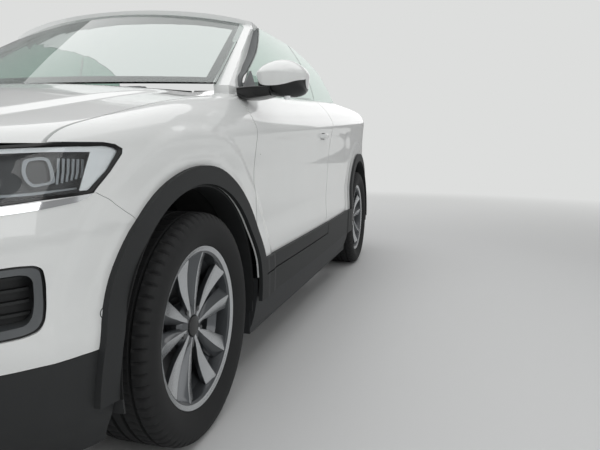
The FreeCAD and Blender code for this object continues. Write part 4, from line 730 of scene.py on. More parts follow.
seam, low = shut["seam"], shut["bumperLow"]
lampHoles = [lampClear(), slantPrism(fogHole, 14), flipped(lampClear()), flipped(slantPrism(fogHole, 14))]
noseSide = [(-2300, low), (-2300, 758)] + [(y - seam, z - 0.6) for y, z in seamLine] + [(-1550 - seam, low)]
endPanel("bumperFront", -1, noseSide, paintWhite, "front_bumper",
         lampHoles + [block((-484, 741), (484, 900), "Y", -2300, -1500), grilleOpening()])
endPanel("valanceFront", -1, [(-2300, 185), (-2300, low - seam), (-1690, low - seam), (-1690, 185)],
         claddingPlastic, "front_valance", [grilleOpening()])
tailEdge = 1790 + seam
endPanel("bumperRear", 1, [(tailEdge, low), (tailEdge, 740 - seam), (2300, 740 - seam), (2300, low)],
         paintWhite, "rear_bumper")
endPanel("valanceRear", 1, [(1792, 225), (1792, low - seam), (2300, low - seam), (2300, 225)],
         claddingPlastic, "rear_valance")
print("bumpers made")

bootTail = belt("bootLidTail", endStations(1, 0), 20, 60, 22, pitch=11)
carve(bootTail, [block((-shut["bootHalf"], shut["bootSplit"]), (shut["bootHalf"], 2300), "Z", 770, 1300)])
bootTop = lid("bootLidTop", 640, 1560, 2160, 1800, 22)
carve(bootTop, [block((-shut["bootHalf"], shut["bootFront"]), (shut["bootHalf"], shut["bootSplit"]), "Z",
                      900, 1300)])
for part in (bootTail, bootTop):
    finishPanel(part, paintWhite, "boot_lid", "boot_lid")

deck = lid("rearDeck", 760, 980, 1660, 1300, 22)
carve(deck, [block((-698.4, 1020), (698.4, 1611), "Z", 1000, 1300)],
      [block((-620.3, 900), (620.3, 1488.3), "Z", 900, 1300)])
finishPanel(deck, paintWhite, "body", "rear_deck")
print("lids made")

# Cladding.

proud = car["cladding"]


def archBand(axle, name):
    solid = belt(name, sideStations(axle - 520, axle + 520, 10), -22, 60, proud, grow=proud, pitch=9)
    return carve(solid, [archCut(axle, car["archOuter"]),
                         block((axle - 520, 300), (axle + 520, 900), "X", *leftSide)],
                 [archCut(axle, reach=(200, 1300))])


def cladding(name):
    sill = belt(name + "Sill", sideStations(-960, 980, 12), -20, 2, proud, grow=proud, pitch=8)
    outline = [(-905, 300), (930, 300), (930, 446), (188, 446), (172, 387), (-870, 387), (-870, 440),
               (-905, 440)]
    bands = [archBand(frontAxle, name), archBand(rearAxle, name + "Rear")]
    arches = [archCut(axle, car["archOuter"] - 1) for axle in (frontAxle, rearAxle)]
    carve(sill, [prism(outline, "X", *leftSide)], arches)
    return joinAll(name, bands + [sill])


def doorCladding(name):
    solid = belt(name, sideStations(-900, 230, 12), -14, 4, proud, grow=proud, pitch=8)
    return carve(solid, [prism(softened([(-865, 392), (-865, 448), (185, 448),
                                         (164, 392)], 6), "X", *leftSide)])


bothSides(cladding, "cladding", claddingPlastic, ["side_cladding"], skin=proud)
bothSides(doorCladding, "doorCladding", claddingPlastic, ["door_trim_{}"], "door_{}", proud)
print("cladding made")

# Headlamps.

lampPlace = dict(tilts=(18, 48), low=(482.0, 700), high=(1100, 900))
lipPlace = dict(lampPlace, low=(0.2, 700))
fogPlace = dict(tilts=(-16, 26), low=(300, 400), high=(1100, 700))


def cornerShell(name, grow, depth, outlines, opening=None, corner=0.0, pitch=9, place=lampPlace):
    # a shell that follows the form round the car's front corner, cut to its slanted outlines
    shells = []
    for outline in outlines:
        solid = belt(name, endStations(-1, 120, pitch), *place["tilts"], depth, grow=grow, pitch=pitch)
        shells.append(carve(solid, [slantPrism(outline, corner),
                                    block(place["low"], place["high"], "Y", *inFront)],
                            [slantPrism(opening, corner)] if opening else []))
    return joinAll(name, shells)


def cornerPair(name, material, node, slotName, grow, depth, outlines, opening=None, **more):
    bothSides(lambda full: cornerShell(full, grow, depth, outlines, opening, **more), name, material, [node],
              skin=grow)


# the light guide: a strip under the top edge that widens to a wedge at the outer end
guide = [(-600, 833), (-420, 838), (-236, 848), (-153, 851), (-41, 854), (-19, 850), (-9, 843), (-38, 803),
         (-81, 763), (-99, 763), (-71, 842), (-153, 842), (-236, 839), (-420, 829), (-600, 824)]
# the projector: a silver bezel, open in the middle, about a lens
bezel = [(-198, 828), (-168, 833), (-152, 830), (-146, 811), (-142, 781), (-185, 773), (-199, 787), (-203, 807)]
bezelHole = [(-190, 824), (-167, 827), (-157, 825), (-152, 808), (-151, 783), (-184, 779), (-193, 790),
             (-196, 807)]
lens = [(-191, 825), (-157, 826), (-151, 808), (-150, 783), (-184, 778), (-194, 790), (-197, 807)]
# upright fins between the projector and the wedge, each leaning the same way
fins = []
for n in range(lamp["ribs"]):
    top, low, high = -137 + n * lamp["ribPitch"], 778 + n * 2.2, 829 - n * 0.5
    fins.append([(top - 6, low), (top - 1.4, low - 1), (top + 3, 800), (top + 6, high), (top, high),
                 (top - 2, 802)])
line = [(-600, 748), (-420, 750), (-242, 757), (-185, 759), (-142, 763), (-102, 766), (-102, 769), (-142, 767),
        (-185, 764), (-242, 762), (-420, 755), (-600, 753)]
# the bright strip under the lamp, thin at its outer end, on across the grille's lower edge
strip = [(-600, 728), (-420, 732), (-243, 742), (-160, 748), (-71, 756), (-79, 750), (-105, 741), (-170, 733),
         (-244, 727), (-420, 716), (-600, 711)]

cornerPair("lampHousing", lampDark, "headlamps", "gloss_black", -30, 30, [lampOutline], corner=3, pitch=14)
cornerPair("lampRim", glossBlack, "headlamps", "gloss_black", -1, 29, [lampOutline], lampInner, corner=3)
cornerPair("lampGuide", lampWhite, "headlamps", "lamp_glass", -7, 9, [guide], corner=2)
cornerPair("lampBezel", satinSilver, "headlamps", "silver_frame", -16, 14, [bezel], bezelHole, corner=8)
cornerPair("lampLens", lampLensGlass, "headlamps", "lamp_glass", -24, 5, [lens], corner=8)
cornerPair("lampRibs", satinSilver, "headlamps", "silver_frame", -17, 12, fins, corner=1.5, pitch=12)
cornerPair("lampLine", satinSilver, "headlamps", "silver_frame", -15, 8, [line])
cornerPair("lampCover", lampCover, "headlamps", "lamp_glass", -2.5, 2.6, [lampInner], corner=3)
cornerPair("chromeStrip", chromePlate, "grilles", "silver_frame", 1.8, 10, [strip], place=lipPlace)
print("headlamps made")

# Fog lamp frames and sensors.

sensor = dict(centre=(-60, 501), radius=10.5, gap=0.1, groove=2.1, sides=28)


def fogInsert(name):
    # the dark back of the fog lamp's hollow, with four slats before it
    back = cornerShell(name, -43, 6, [fogRing], corner=14, pitch=16, place=fogPlace)
    slats = [[(-448, z), (-205, z + 2), (-205, z + 8), (-448, z + 6)] for z in (524, 548, 572, 596)]
    return joinAll(name, [back, cornerShell(name + "Slats", -30, 13, slats, pitch=14, place=fogPlace)])


def sensorRing(extra):
    return circle(sensor["centre"], sensor["radius"] + extra, sensor["sides"])


cornerPair("fogGasket", glossBlack, "fog_lamp_frames", "gloss_black", -7, 24, [fogHole], fogRing, corner=14,
           pitch=10, place=fogPlace)
cornerPair("fogFrame", satinGrey, "fog_lamp_frames", "silver_frame", -3, 40, [fogRing], fogMouth, corner=14,
           pitch=10, place=fogPlace)
bothSides(fogInsert, "fogInsert", claddingPlastic, ["fog_lamp_frames"], skin=-43)
cornerPair("parkSensor", paintWhite, "front_bumper", "white_paint", 0.9, 6, [sensorRing(0)], pitch=8,
           place=fogPlace)
# a dark ring round the parking sensor, painted shade of the groove about it
cornerPair("sensorGroove", sealRubber, "front_bumper", "black_plastic", 0.25, 5, [sensorRing(sensor["groove"])],
           sensorRing(sensor["gap"]), pitch=8, place=fogPlace)
print("fog frames made")

# Wheels.

wheel = dict(tyreRadius=334.0, bead=218.5, well=196.0, wall=7.0, pairs=5, turn=4.0, treadPitch=66,
             grooveDepth=6.0, boltCircle=56.0)


def spun(name, profile, count=144, dents=None):
    # a ring about the X axis from (outboard, radius) points; dents lower some points at some places round it
    n = len(profile)
    points, faces = [], []
    for k in range(count):
        a = 2 * math.pi * k / count
        for u, r in profile:
            r = r - (dents(k, u, r) if dents else 0)
            points.append((u, r * math.sin(a), r * math.cos(a)))
    for k in range(count):
        for i in range(n):
            j, m = (i + 1) % n, (k + 1) % count
            faces.append((k * n + i, k * n + j, m * n + j, m * n + i))
    return meshObject(name, points, faces)


def shadeByAngle(piece, degrees=32):
    reshaped(piece, outwards)
    piece.data.shade_smooth()
    piece.data.set_sharp_from_angle(angle=math.radians(degrees))
    return piece


def bevelled(piece, width, segments=2, degrees=35):
    edge = piece.modifiers.new("edge", "BEVEL")
    edge.width, edge.segments = width * mm, segments
    edge.limit_method, edge.angle_limit = "ANGLE", math.radians(degrees)
    return shadeByAngle(applied(piece))


def smoothLine(points, steps=6):
    # a smooth open line through points of any number of columns
    p = np.array(points, float)
    knots = np.concatenate([[0], np.cumsum(np.linalg.norm(np.diff(p[:, :2], axis=0), axis=1))])
    at = np.linspace(0, knots[-1], (len(p) - 1) * steps + 1)
    return np.stack([through(knots, p[:, c], at) for c in range(p.shape[1])], -1)


def loft(name, sections):
    # a skin through closed loops of the same number of points
    count = len(sections[0])
    points = [p for ring in sections for p in ring]
    faces = [(r * count + i, r * count + (i + 1) % count, (r + 1) * count + (i + 1) % count,
              (r + 1) * count + i)
             for r in range(len(sections) - 1) for i in range(count)]
    faces += [tuple(range(count))[::-1], tuple(range((len(sections) - 1) * count, len(sections) * count))]
    return reshaped(meshObject(name, points, faces), splitCaps)


def tyrePiece(name):
    # sidewall, ribbed shoulder and four grooves round the tread
    half = [(82.5, 218.8), (82.7, 236.4), (90, 238), (97, 246), (103, 259), (107.5, 276), (109, 290),
            (107, 303), (103.5, 312), (101, 317), (99, 321), (93, 327.5), (84, 331.5), (74, 333), (66, 333.6),
            (65, 327), (57, 327), (56, 333.8), (36, 334), (22, 334), (21, 326.5), (12, 326.5), (11, 334),
            (0, 334)]
    profile = half + [(-u, r) for u, r in reversed(half[:-1])]
    pitch = 5

    def dents(k, u, r):
        shoulder = abs(u) > 70 and r > 308
        block = 22 < abs(u) < 56 and r > 333
        if shoulder and k % pitch == 0:
            return wheel["grooveDepth"] * (0.5 if abs(u) > 100 else 1)
        if block and k % pitch == 2:
            return wheel["grooveDepth"] * 0.7
        return 0
    return shadeByAngle(spun(name, profile, wheel["treadPitch"] * pitch, dents), 28)


def turned(count, degrees, profile):
    # what makes a piece turned on a lathe
    return lambda name: shadeByAngle(spun(name, profile, count), degrees)


bead, inner, well = wheel["bead"], wheel["bead"] - wheel["wall"], wheel["well"] - wheel["wall"]
rimBarrel = turned(160, 30, [
    (-89, 236), (-89, inner), (-63, inner), (-49, well), (19, well), (41, inner - 2), (60, inner), (79, inner + 3),
    (84, 222), (86, 230), (84.5, 230), (83, bead), (45, bead), (23, wheel["well"]), (-45, wheel["well"]),
    (-59, bead), (-83, bead), (-83, 236)])
rimLip = turned(160, 40, [(84, 221.5), (86.5, 229.5), (88.6, 233), (88.8, 235.6), (86.8, 236), (83.2, 235.5),
                          (83.2, 221.5)])
hub = turned(80, 30, [(-4, 74), (2, 60), (30, 74), (44, 72), (56, 60), (60, 44), (61, 33), (50, 32), (50, 22.2),
                      (-4, 22.2)])
bareCap = turned(64, 40, [(52, 31), (62, 31), (64.5, 29), (65.5, 24), (66.2, 16), (66.6, 8), (66.7, 0.4),
                          (54, 0.4), (52, 20)])
brakeDisc = turned(120, 30, [(-31, 74), (-31, 156), (-21.5, 156), (-21.5, 95), (-16.5, 95), (-16.5, 156),
                             (-7, 156), (-7, 86), (2, 80), (2, 60), (-4, 60), (-4, 74)])


def spokeBlade(name, side, turn):
    # a twisted blade: narrow and level at the hub, wide and leaning at the rim
    stations = [(31, 3, 50, 18, 60.5), (60, 5, 50, 28, 60), (110, 8, 47, 53, 59), (165, 11, 49, 75, 63),
                (212, 14, 57, 96, 73)]
    sections = []
    for r, y0, z0, y1, z1 in smoothLine(stations, 3):
        middle = y0 + (y1 - y0) * 0.36
        ridge = max(z0, z1) + 1.0 + (r - 31) * 0.05
        loop = [(z0 - 20, y0 + 2), (z0 - 1, y0), (ridge, middle), (z1, y1), (z1 - 18, y1 - 5)]
        sections.append([(u, side * y, r) for u, y in loop])
    made = bevelled(loft(name, sections), 1.1)
    made.data.transform(Matrix.Rotation(turn, 4, "X"))
    return made


def spokes(name):
    # pairs of blades, their outer faces turned bright and their flanks dark as painted shade on the alloy
    blades = []
    for pair in range(wheel["pairs"]):
        turn = 2 * math.pi * pair / wheel["pairs"] + math.radians(wheel["turn"])
        blades += [spokeBlade(f"{name}Blade{pair}{side}", side, turn) for side in (1, -1)]
    made = joinAll(name, blades)
    coat(made, wheelLacquerAndShade, alloyTurned)
    for face in made.data.polygons:
        # faces turned away from the outboard side take the dark colour as painted shade
        face.material_index = 1 if face.normal.x > 0.8 else 0
    return made


def wheelBolts(name):
    bolts = []
    for n in range(wheel["pairs"]):
        a = 2 * math.pi * (n + 0.5) / wheel["pairs"] + math.radians(wheel["turn"])
        centre = (wheel["boltCircle"] * math.sin(a), wheel["boltCircle"] * math.cos(a))
        bolts.append(bevelled(prism(circle(centre, 8.5, 6), "X", 30, 61), 1.2))
    return joinAll(name, bolts)


def atWheels(make, name, x, y, material, end, node):
    for side, sign in (("Left", 1), ("Right", -1)):
        made = make(name + end + side)
        if sign < 0:
            flipped(made)
        made.data.transform(Matrix.Translation(Vector((sign * x, y, wheel["tyreRadius"])) * mm))
        place = f"{end}_{side}".lower()
        dress(made, material, "wheel_" + place, [f"{node}_{place}"])


for end, x, y in (("Front", 773.0, frontAxle), ("Rear", 770.5, rearAxle)):
    for make, part, material, node, slotName in (
            (tyrePiece, "tyre", tyreRubber, "tyre", "tyre_rubber"),
            (rimBarrel, "barrel", wheelLacquerAndShade, "rim", "alloy"),
            (rimLip, "rimLip", alloyTurned, "rim", "alloy"), (spokes, "spokes", None, "rim", "alloy"),
            (hub, "hub", wheelLacquerAndShade, "rim", "alloy"), (bareCap, "hubCap", glossBlack, "rim", "gloss_black"),
            (wheelBolts, "wheelBolts", castIron, "rim", "chassis_steel"),
            (brakeDisc, "brakeDisc", castIron, "rim", "chassis_steel")):
        atWheels(make, part, x, y, material, end, node)
print("wheels made")

# Mirrors.

mirrorShape = [
    # x, front, rear, top, crease, band, low
    (868, -838, -792, 1122, 1108, 1090, 1060),
    (884, -856, -768, 1140, 1110, 1068, 1040),
    (910, -862, -752, 1155, 1111, 1064, 1030),
    (945, -858, -728, 1164, 1112, 1065, 1026),
    (975, -842, -706, 1162, 1112, 1072, 1026),
    (1000, -812, -688, 1148, 1111, 1085, 1030),
    (1016, -782, -680, 1134, 1110, 1089, 1040),
    (1023.5, -756, -686, 1124, 1109, 1092, 1058)]


loopCorners = 12


def mirrorLoop(x, front, rear, top, crease, band, low):
    w = rear - front
    loop = [(rear, crease + (top - crease) * 0.45), (rear - 0.10 * w, top - 3), (rear - 0.42 * w, top),
            (rear - 0.76 * w, top - 0.30 * (top - crease)), (front + 0.03 * w, crease + 0.22 * (top - crease)),
            (front, crease), (front + 0.07 * w, band + 0.35 * (crease - band)), (front + 0.12 * w, band),
            (front + 0.22 * w, low + 0.4 * (band - low)), (front + 0.45 * w, low), (rear - 0.12 * w, low + 3),
            (rear, band - 4)]
    return [(x, y, z) for y, z in loop]


def mirrorHead(name):
    # white above, gloss black below and silvered glass behind, smoothed between creased loops
    made = loft(name, [mirrorLoop(*row) for row in mirrorShape])
    mesh = made.data
    coat(made, paintWhite, glossBlack, mirrorGlass)
    crease = mesh.attributes.new("crease_edge", "FLOAT", "EDGE")
    for edge in mesh.edges:
        a, b = (v % loopCorners for v in edge.vertices)
        if a == b and a in (5, 7, 0, 11):
            crease.data[edge.index].value = 0.9 if a in (5, 7) else 0.5
    for face in mesh.polygons:
        strip = tuple(sorted({v % loopCorners for v in face.vertices}))
        if strip in ((7, 8), (8, 9), (9, 10), (10, 11)):
            face.material_index = 1
        elif strip == (0, 11):
            face.material_index = 2
    made.modifiers.new("soft", "SUBSURF").levels = 3
    applied(made)
    base, tip = mirrorShape[0][0] * mm, mirrorShape[-1][0] * mm
    reach = max(v.co.x for v in made.data.vertices)
    for vertex in made.data.vertices:
        vertex.co.x = base + (vertex.co.x - base) * (tip - base) / (reach - base)
    made.data.shade_smooth()
    made.data.set_sharp_from_angle(angle=math.radians(38))
    return made


def mirrorFoot(name):
    # the black foot on the door, which widens under the head
    rows = [(800, -860, -772, 1061, 1024), (822, -866, -762, 1062, 1018), (850, -868, -748, 1063, 1018),
            (880, -862, -744, 1064, 1022), (915, -846, -744, 1063, 1030)]
    sections = []
    for x, front, rear, top, low in rows:
        w, h = rear - front, top - low
        outline = [(front, top), (front + 0.12 * w, low + 0.1 * h), (rear - 0.1 * w, low), (rear, top - 0.3 * h),
                   (rear - 0.05 * w, top)]
        sections.append([(x, y, z) for y, z in softened(outline, 12)])
    return shadeByAngle(loft(name, sections), 40)


def puddleLamp(name):
    # the left one keeps the plain name that its prism has
    return bevelled(prism(circle((968, -790), 11, 24, 7), "Z", 1020, 1032), 2)


grille = dict(heights=(771, 795, 819), half=470.0, bar=5.0, depth=16.0, inset=14.0)


def grilleBars(name):
    bars = []
    for z in grille["heights"]:
        rows = []
        for x in np.linspace(-grille["half"], grille["half"], 41):
            y = skinPoint([x, spine["front"], z], [0, -1, 0])[1] + grille["inset"]
            b = grille["bar"]
            rows.append([(x, y, z - b), (x, y - 1.5, z), (x, y, z + b), (x, y + grille["depth"], z + b * 0.7),
                         (x, y + grille["depth"], z - b * 0.7)])
        bars.append(loft(f"{name}{z}", rows))
    return bevelled(joinAll(name, bars), 1.0)


dress(grilleBars("grilleBars"), glossBlack, "body", ())


def archLip(name, axle):
    # the dark inner edge of the arch, which hides the edge of the painted panel
    profile = [(790, 407.5), (866, 407.5), (866, 413), (790, 413)]
    angles = np.linspace(math.radians(-10), math.radians(190), 90)
    rows = [[(u, axle + r * math.cos(a), car["axleHeight"] + r * math.sin(a)) for u, r in profile]
            for a in angles]
    return shadeByAngle(loft(name, rows), 40)


for end, axle in (("Front", frontAxle), ("Rear", rearAxle)):
    bothSides(lambda full: archLip(full, axle), "archLip" + end, claddingPlastic, ())
bothSides(mirrorHead, "mirrorHead", None, ["mirror_{}"], "door_{}")
bothSides(mirrorFoot, "mirrorFoot", glossBlack, ["mirror_{}"], "door_{}")
bothSides(puddleLamp, "puddleLamp", lampWhite, ["mirror_{}"], "door_{}")

# Door handles, seals and glass.

handle = dict(y0=66.0, y1=214.0, z=905.0, out=26.0)


def doorHandle(name):
    # a pull bar that stands off the door and returns to it at both ends
    rows = []
    z = handle["z"]
    for t in np.linspace(0, 1, 15):
        y = handle["y0"] + (handle["y1"] - handle["y0"]) * t
        x = skinPoint([spine["x"], y, z], [1, 0, 0])[0]
        lift = handle["out"] * max(math.sin(math.pi * t), 0) ** 0.5
        half = 11 + 3 * math.sin(math.pi * t)
        inner = max(lift - 13, 0) - 3
        rows.append([(x + lift, y, z + half * 0.35), (x + lift - 3, y, z + half),
                     (x + inner, y, z + half * 0.8),
                     (x + inner, y, z - half * 0.8), (x + lift - 5, y, z - half),
                     (x + lift, y, z - half * 0.35)])
    return shadeByAngle(bevelled(loft(name, rows), 2.0, 3), 40)


def handleCup(name):
    # a dark sheet on the door skin behind the handle, painted shade of the hollow there
    ring = softened([(88, 890), (88, 922), (176, 922), (176, 890)], 14)
    solid = belt(name, sideStations(60, 210, 12), 30, 50, 4, grow=0.6, pitch=10)
    return carve(solid, [prism(ring, "X", *leftSide)])


def waistSeal(name):
    # the rubber along the foot of the door glass
    rows = []
    for y in np.linspace(-730, 330, 40):
        z = 1093 + 0.046 * y + 2
        x = skinPoint([spine["x"], y, z], [1, 0, 0])[0]
        rows.append([(x - 2, y, z - 5), (x + 1, y, z + 1), (x - 6, y, z + 7), (x - 16, y, z + 4),
                     (x - 14, y, z - 5)])
    return shadeByAngle(loft(name, rows), 50)


def screenPoint(s, t, drop=0.0):
    # a point on the windscreen: s from -1 to 1 across, t from 0 at the foot to 1 at the header
    low = np.array([735 * s, -885 - 171 * (1 - s * s), 1076 - 2 * (1 - s * s)])
    high = np.array([612 * s, -268 - 94 * (1 - s * s), 1404 + 58 * (1 - s * s)])
    return low + (high - low) * t + np.array([0, 0.51, -0.86]) * drop


def screenStrip(name, s0, s1, t0, t1, drop, thick, columns=60, rows=3):
    ss, tt = np.linspace(s0, s1, columns), np.linspace(t0, t1, rows)
    top = np.array([[screenPoint(s, t, drop) for s in ss] for t in tt])
    low = np.array([[screenPoint(s, t, drop + thick) for s in ss] for t in tt])
    return wallBetween(name, top, low)


def pillarStrip(name, side, drop, thick):
    # along the pillar, a band whose width stays the same up to the header
    tt = np.linspace(0.0, 0.985, 24)
    top = np.array([[screenPoint(side * s, t, drop) for s in (0.945 - 0.012 * t, 0.985)] for t in tt])
    low = np.array([[screenPoint(side * s, t, drop + thick) for s in (0.945 - 0.012 * t, 0.985)] for t in tt])
    return wallBetween(name, top, low)


frit = joinAll("screenFrit", [
    screenStrip("fritFoot", -0.985, 0.985, 0.0, 0.075, 5.6, 0.8),
    screenStrip("fritHead", -0.985, 0.985, 0.955, 1.0, 5.6, 0.8),
    pillarStrip("fritLeft", 1, 5.6, 0.8), pillarStrip("fritRight", -1, 5.6, 0.8)])
dress(frit, glossBlack, "body", ())

glassArc = dict(foot=(792.0, 1030.0), waist=(742.0, 1230.0), head=(648.0, 1402.0), thick=4.0)
glassEdge = [(-752, 1056), (-752, 1072), (-652, 1146), (-476, 1238), (-328, 1325), (-196, 1399), (60, 1401),
             (262, 1401), (268, 1397), (335, 1240), (348, 1056)]


def arcCentre():
    (x1, z1), (x2, z2), (x3, z3) = glassArc["foot"], glassArc["waist"], glassArc["head"]
    a = np.array([[x2 - x1, z2 - z1], [x3 - x2, z3 - z2]]) * 2
    b = np.array([x2 ** 2 - x1 ** 2 + z2 ** 2 - z1 ** 2, x3 ** 2 - x2 ** 2 + z3 ** 2 - z2 ** 2])
    cx, cz = np.linalg.solve(a, b)
    return cx, cz, math.hypot(x1 - cx, z1 - cz)


pillarLine = [(778, -766, 1010), (776, -758, 1069), (742, -648, 1146), (703, -470, 1238), (664, -322, 1325),
              (630, -188, 1401)]


def pillarSeal(name):
    # the grey rubber between the pillar and the door glass
    rows = []
    cx, cz, radius = arcCentre()
    for x, y, z in smoothLine(pillarLine, 8):
        out = max(cx + math.sqrt(max(radius ** 2 - (z - cz) ** 2, 0)) - 9, x + 3)
        rows.append([(x - 2, y - 6, z), (out, y - 1, z), (out, y + 10, z - 1), (x - 16, y + 12, z - 1),
                     (x - 16, y - 4, z)])
    return shadeByAngle(loft(name, rows), 50)


bothSides(pillarSeal, "pillarSeal", sealGrey, ())
bothSides(doorHandle, "doorHandle", paintWhite, ["door_{}"], "door_{}")
bothSides(handleCup, "handleCup", sealRubber, ["door_{}"], "door_{}")
bothSides(waistSeal, "waistSeal", sealRubber, ["door_{}"], "door_{}")
print("mirrors and door trims made")


def bowedPane(name, outline, out, thick, first=-790, last=380):
    # a pane that leans in along the arc of the side glass, trimmed to an outline in the side view
    cx, cz, radius = arcCentre()
    angles = [math.atan2(z - cz, x - cx) for x, z in (glassArc["foot"], glassArc["head"])]
    start, end = angles[0] - 0.05, angles[1] + 0.05
    rows = np.linspace(start, end, 28)
    across = np.linspace(first, last, 60)

    def skin(r):
        return np.array([[(cx + r * math.cos(a), y, cz + r * math.sin(a)) for y in across] for a in rows])
    solid = wallBetween(name, skin(radius + out), skin(radius + out - thick))
    return carve(solid, [prism(outline, "X", *leftSide)])


def doorPane(name):
    return bowedPane(name, glassEdge, 0, glassArc["thick"])


def sailTriangle(name):
    return bowedPane(name, [(-774, 1056), (-774, 1062), (-646, 1144), (-634, 1146), (-626, 1058)], 3.4, 3.0)


bothSides(doorPane, "doorPane", glassSide, ["door_glass_{}"], "door_{}")
bothSides(sailTriangle, "sailTriangle", satinGrey, (), "door_{}")

# Soft goods.

padding = dict(pressure=4.0, frames=20, cap=24.0, shrink=0.93, stiffness=15.0, mass=0.3)
seat = dict(x=370.0, channel=5.0, channelWidth=11.0)


def evened(shape):
    for again in range(6):
        bmesh.ops.smooth_vert(shape, verts=shape.verts, factor=0.5, use_axis_x=True, use_axis_y=True,
                              use_axis_z=True)


def corners(piece):
    points = np.empty(len(piece.data.vertices) * 3)
    piece.data.vertices.foreach_get("co", points)
    return points.reshape(-1, 3) * 1000


def setCorners(piece, points):
    piece.data.vertices.foreach_set("co", (points / 1000).ravel())
    piece.data.update()


def pad(name, outline, middle, half, mould, seams, corner, voxel):
    # a stuffed cushion: the moulded block swells like a cover full of foam, and is sewn down along its seams
    made = prism(softened(outline, corner), "X", middle - half, middle + half)
    made.name = name
    centre = np.array([middle, np.mean([p[0] for p in outline]), np.mean([p[1] for p in outline])])
    remesh = made.modifiers.new("even", "REMESH")
    remesh.mode, remesh.voxel_size = "VOXEL", voxel * mm
    reshaped(applied(made), evened)
    points = centre + (corners(made) - centre) * padding["shrink"]
    rest = mould(points) if mould else points
    setCorners(made, rest)
    cover = made.modifiers.new("cover", "CLOTH")
    cloth = cover.settings
    cloth.quality, cloth.mass, cloth.effector_weights.gravity = 5, padding["mass"], 0
    cloth.tension_stiffness = cloth.compression_stiffness = padding["stiffness"]
    cloth.use_pressure, cloth.uniform_pressure_force = True, padding["pressure"]
    cover.point_cache.frame_end = padding["frames"]
    for step in range(1, padding["frames"] + 1):
        scene.frame_set(step)
    applied(made)
    scene.frame_set(1)
    move = corners(made) - rest
    length = np.linalg.norm(move, axis=1, keepdims=True)
    setCorners(made, rest + move * np.minimum(1, padding["cap"] / np.maximum(length, 0.001)))
    made.modifiers.new("fine", "SUBSURF").levels = 1
    applied(made)
    if seams:
        points = corners(made)
        normals = np.empty(len(made.data.vertices) * 3)
        made.data.vertices.foreach_get("normal", normals)
        setCorners(made, points - normals.reshape(-1, 3) * seams(points)[:, None])
    made.data.shade_smooth()
    return made


def groove(distance):
    # the depth of a sewn channel at a distance from its seam
    return seat["channel"] * np.exp(-(distance / seat["channelWidth"]) ** 2 * 2)


def seatMould(points):
    aside = np.abs(points[:, 0] - seat["x"])
    bolster = ramp(aside, 120, 185)
    rise = ramp(points[:, 2], 380, 470) * (1 - ramp(np.abs(points[:, 1] + 170), 220, 300))
    points[:, 2] -= 24 * rise * (1 - bolster)
    return points


def seatSeams(points):
    aside = np.abs(points[:, 0] - seat["x"])
    upper = ramp(points[:, 2], 400, 440)
    depth = groove(np.abs(aside - 152)) * upper
    for y in (-330, -215, -100):
        depth = np.maximum(depth, groove(points[:, 1] - y) * upper * (1 - ramp(aside, 145, 155)))
    return depth


def backLine(z):
    # the front of the backrest at a height
    return through(np.array([420.0, 485.0, 1020.0, 1045.0]), np.array([80.0, 84.0, 232.0, 268.0]), z)


def backMould(points):
    aside = np.abs(points[:, 0] - seat["x"])
    front = 1 - ramp(points[:, 1] - backLine(points[:, 2]), 15, 70)
    points[:, 1] += 22 * front * (1 - ramp(aside, 115, 180)) * ramp(points[:, 2], 470, 560)
    points[:, 0] = seat["x"] + (points[:, 0] - seat["x"]) * (1 - 0.14 * ramp(points[:, 2], 820, 1045))
    return points


def backSeams(points):
    aside = np.abs(points[:, 0] - seat["x"])
    front = 1 - ramp(points[:, 1] - backLine(points[:, 2]), 40, 80)
    depth = groove(aside - 146) * front
    for z in (600, 710, 820, 930):
        depth = np.maximum(depth, groove(points[:, 2] - z) * front * (1 - ramp(aside, 138, 150)))
    return depth


def headSeams(points):
    return groove(np.abs(np.abs(points[:, 0] - seat["x"]) - 96)) * 0.8


cushionSide = [(-470, 300), (-470, 475), (-410, 500), (80, 470), (80, 300)]
backSide = [(86, 425), (86, 488), (236, 1020), (270, 1043), (333, 1038), (342, 1000), (218, 425)]
headSide = [(266, 1070), (262, 1190), (292, 1222), (346, 1216), (354, 1080)]
softMade = []
for name, outline, half, mould, seams, voxel, corner in (
        ("seatCushion", cushionSide, 244, seatMould, seatSeams, 14.5, 30),
        ("seatBack", backSide, 236, backMould, backSeams, 14.5, 34),
        ("headRestraint", headSide, 124, None, headSeams, 9.5, 34)):
    softMade += bothSides(lambda full: pad(full, outline, seat["x"], half, mould, seams, corner, voxel),
                          name, seatCloth, ["front_seats"])
    print(name + " sewn")


def restraintPosts(name):
    parts = []
    for x in (-60, 60):
        ring = circle((seat["x"] + x, 308), 7, 16)
        rows = [[(px, py, z) for px, py in ring] for z in (1025, 1040, 1060, 1080)]
        parts.append(loft(name + str(x), rows))
    return shadeByAngle(joinAll(name, parts), 40)


bothSides(restraintPosts, "restraintPosts", chromePlate, ["front_seats"])


def benchHollow(points):
    # one inside the two seating places, zero outside them
    return 1 - ramp(np.abs(np.abs(points[:, 0]) - 290), 120, 200)


def benchMould(points):
    points[:, 2] -= (20 * benchHollow(points) * ramp(points[:, 2], 420, 480)
                     * (1 - ramp(np.abs(points[:, 1] - 650), 130, 190)))
    return points


def benchBackMould(points):
    points[:, 1] += 18 * benchHollow(points) * (1 - ramp(points[:, 1], 900, 950)) * ramp(points[:, 2], 470, 560)
    return points


def benchChannels(points, upper, cross):
    # two channels beside the middle, and others across at a distance from the middle
    depth = groove(np.abs(np.abs(points[:, 0]) - 90)) * upper
    for distance in cross:
        depth = np.maximum(depth, groove(distance) * upper * ramp(np.abs(points[:, 0]), 90, 100))
    return depth


def benchSeams(points):
    return benchChannels(points, ramp(points[:, 2], 430, 460), [points[:, 1] - 560])


def benchBackSeams(points):
    return benchChannels(points, 1 - ramp(points[:, 1], 950, 980), [points[:, 2] - 640, points[:, 2] - 780])


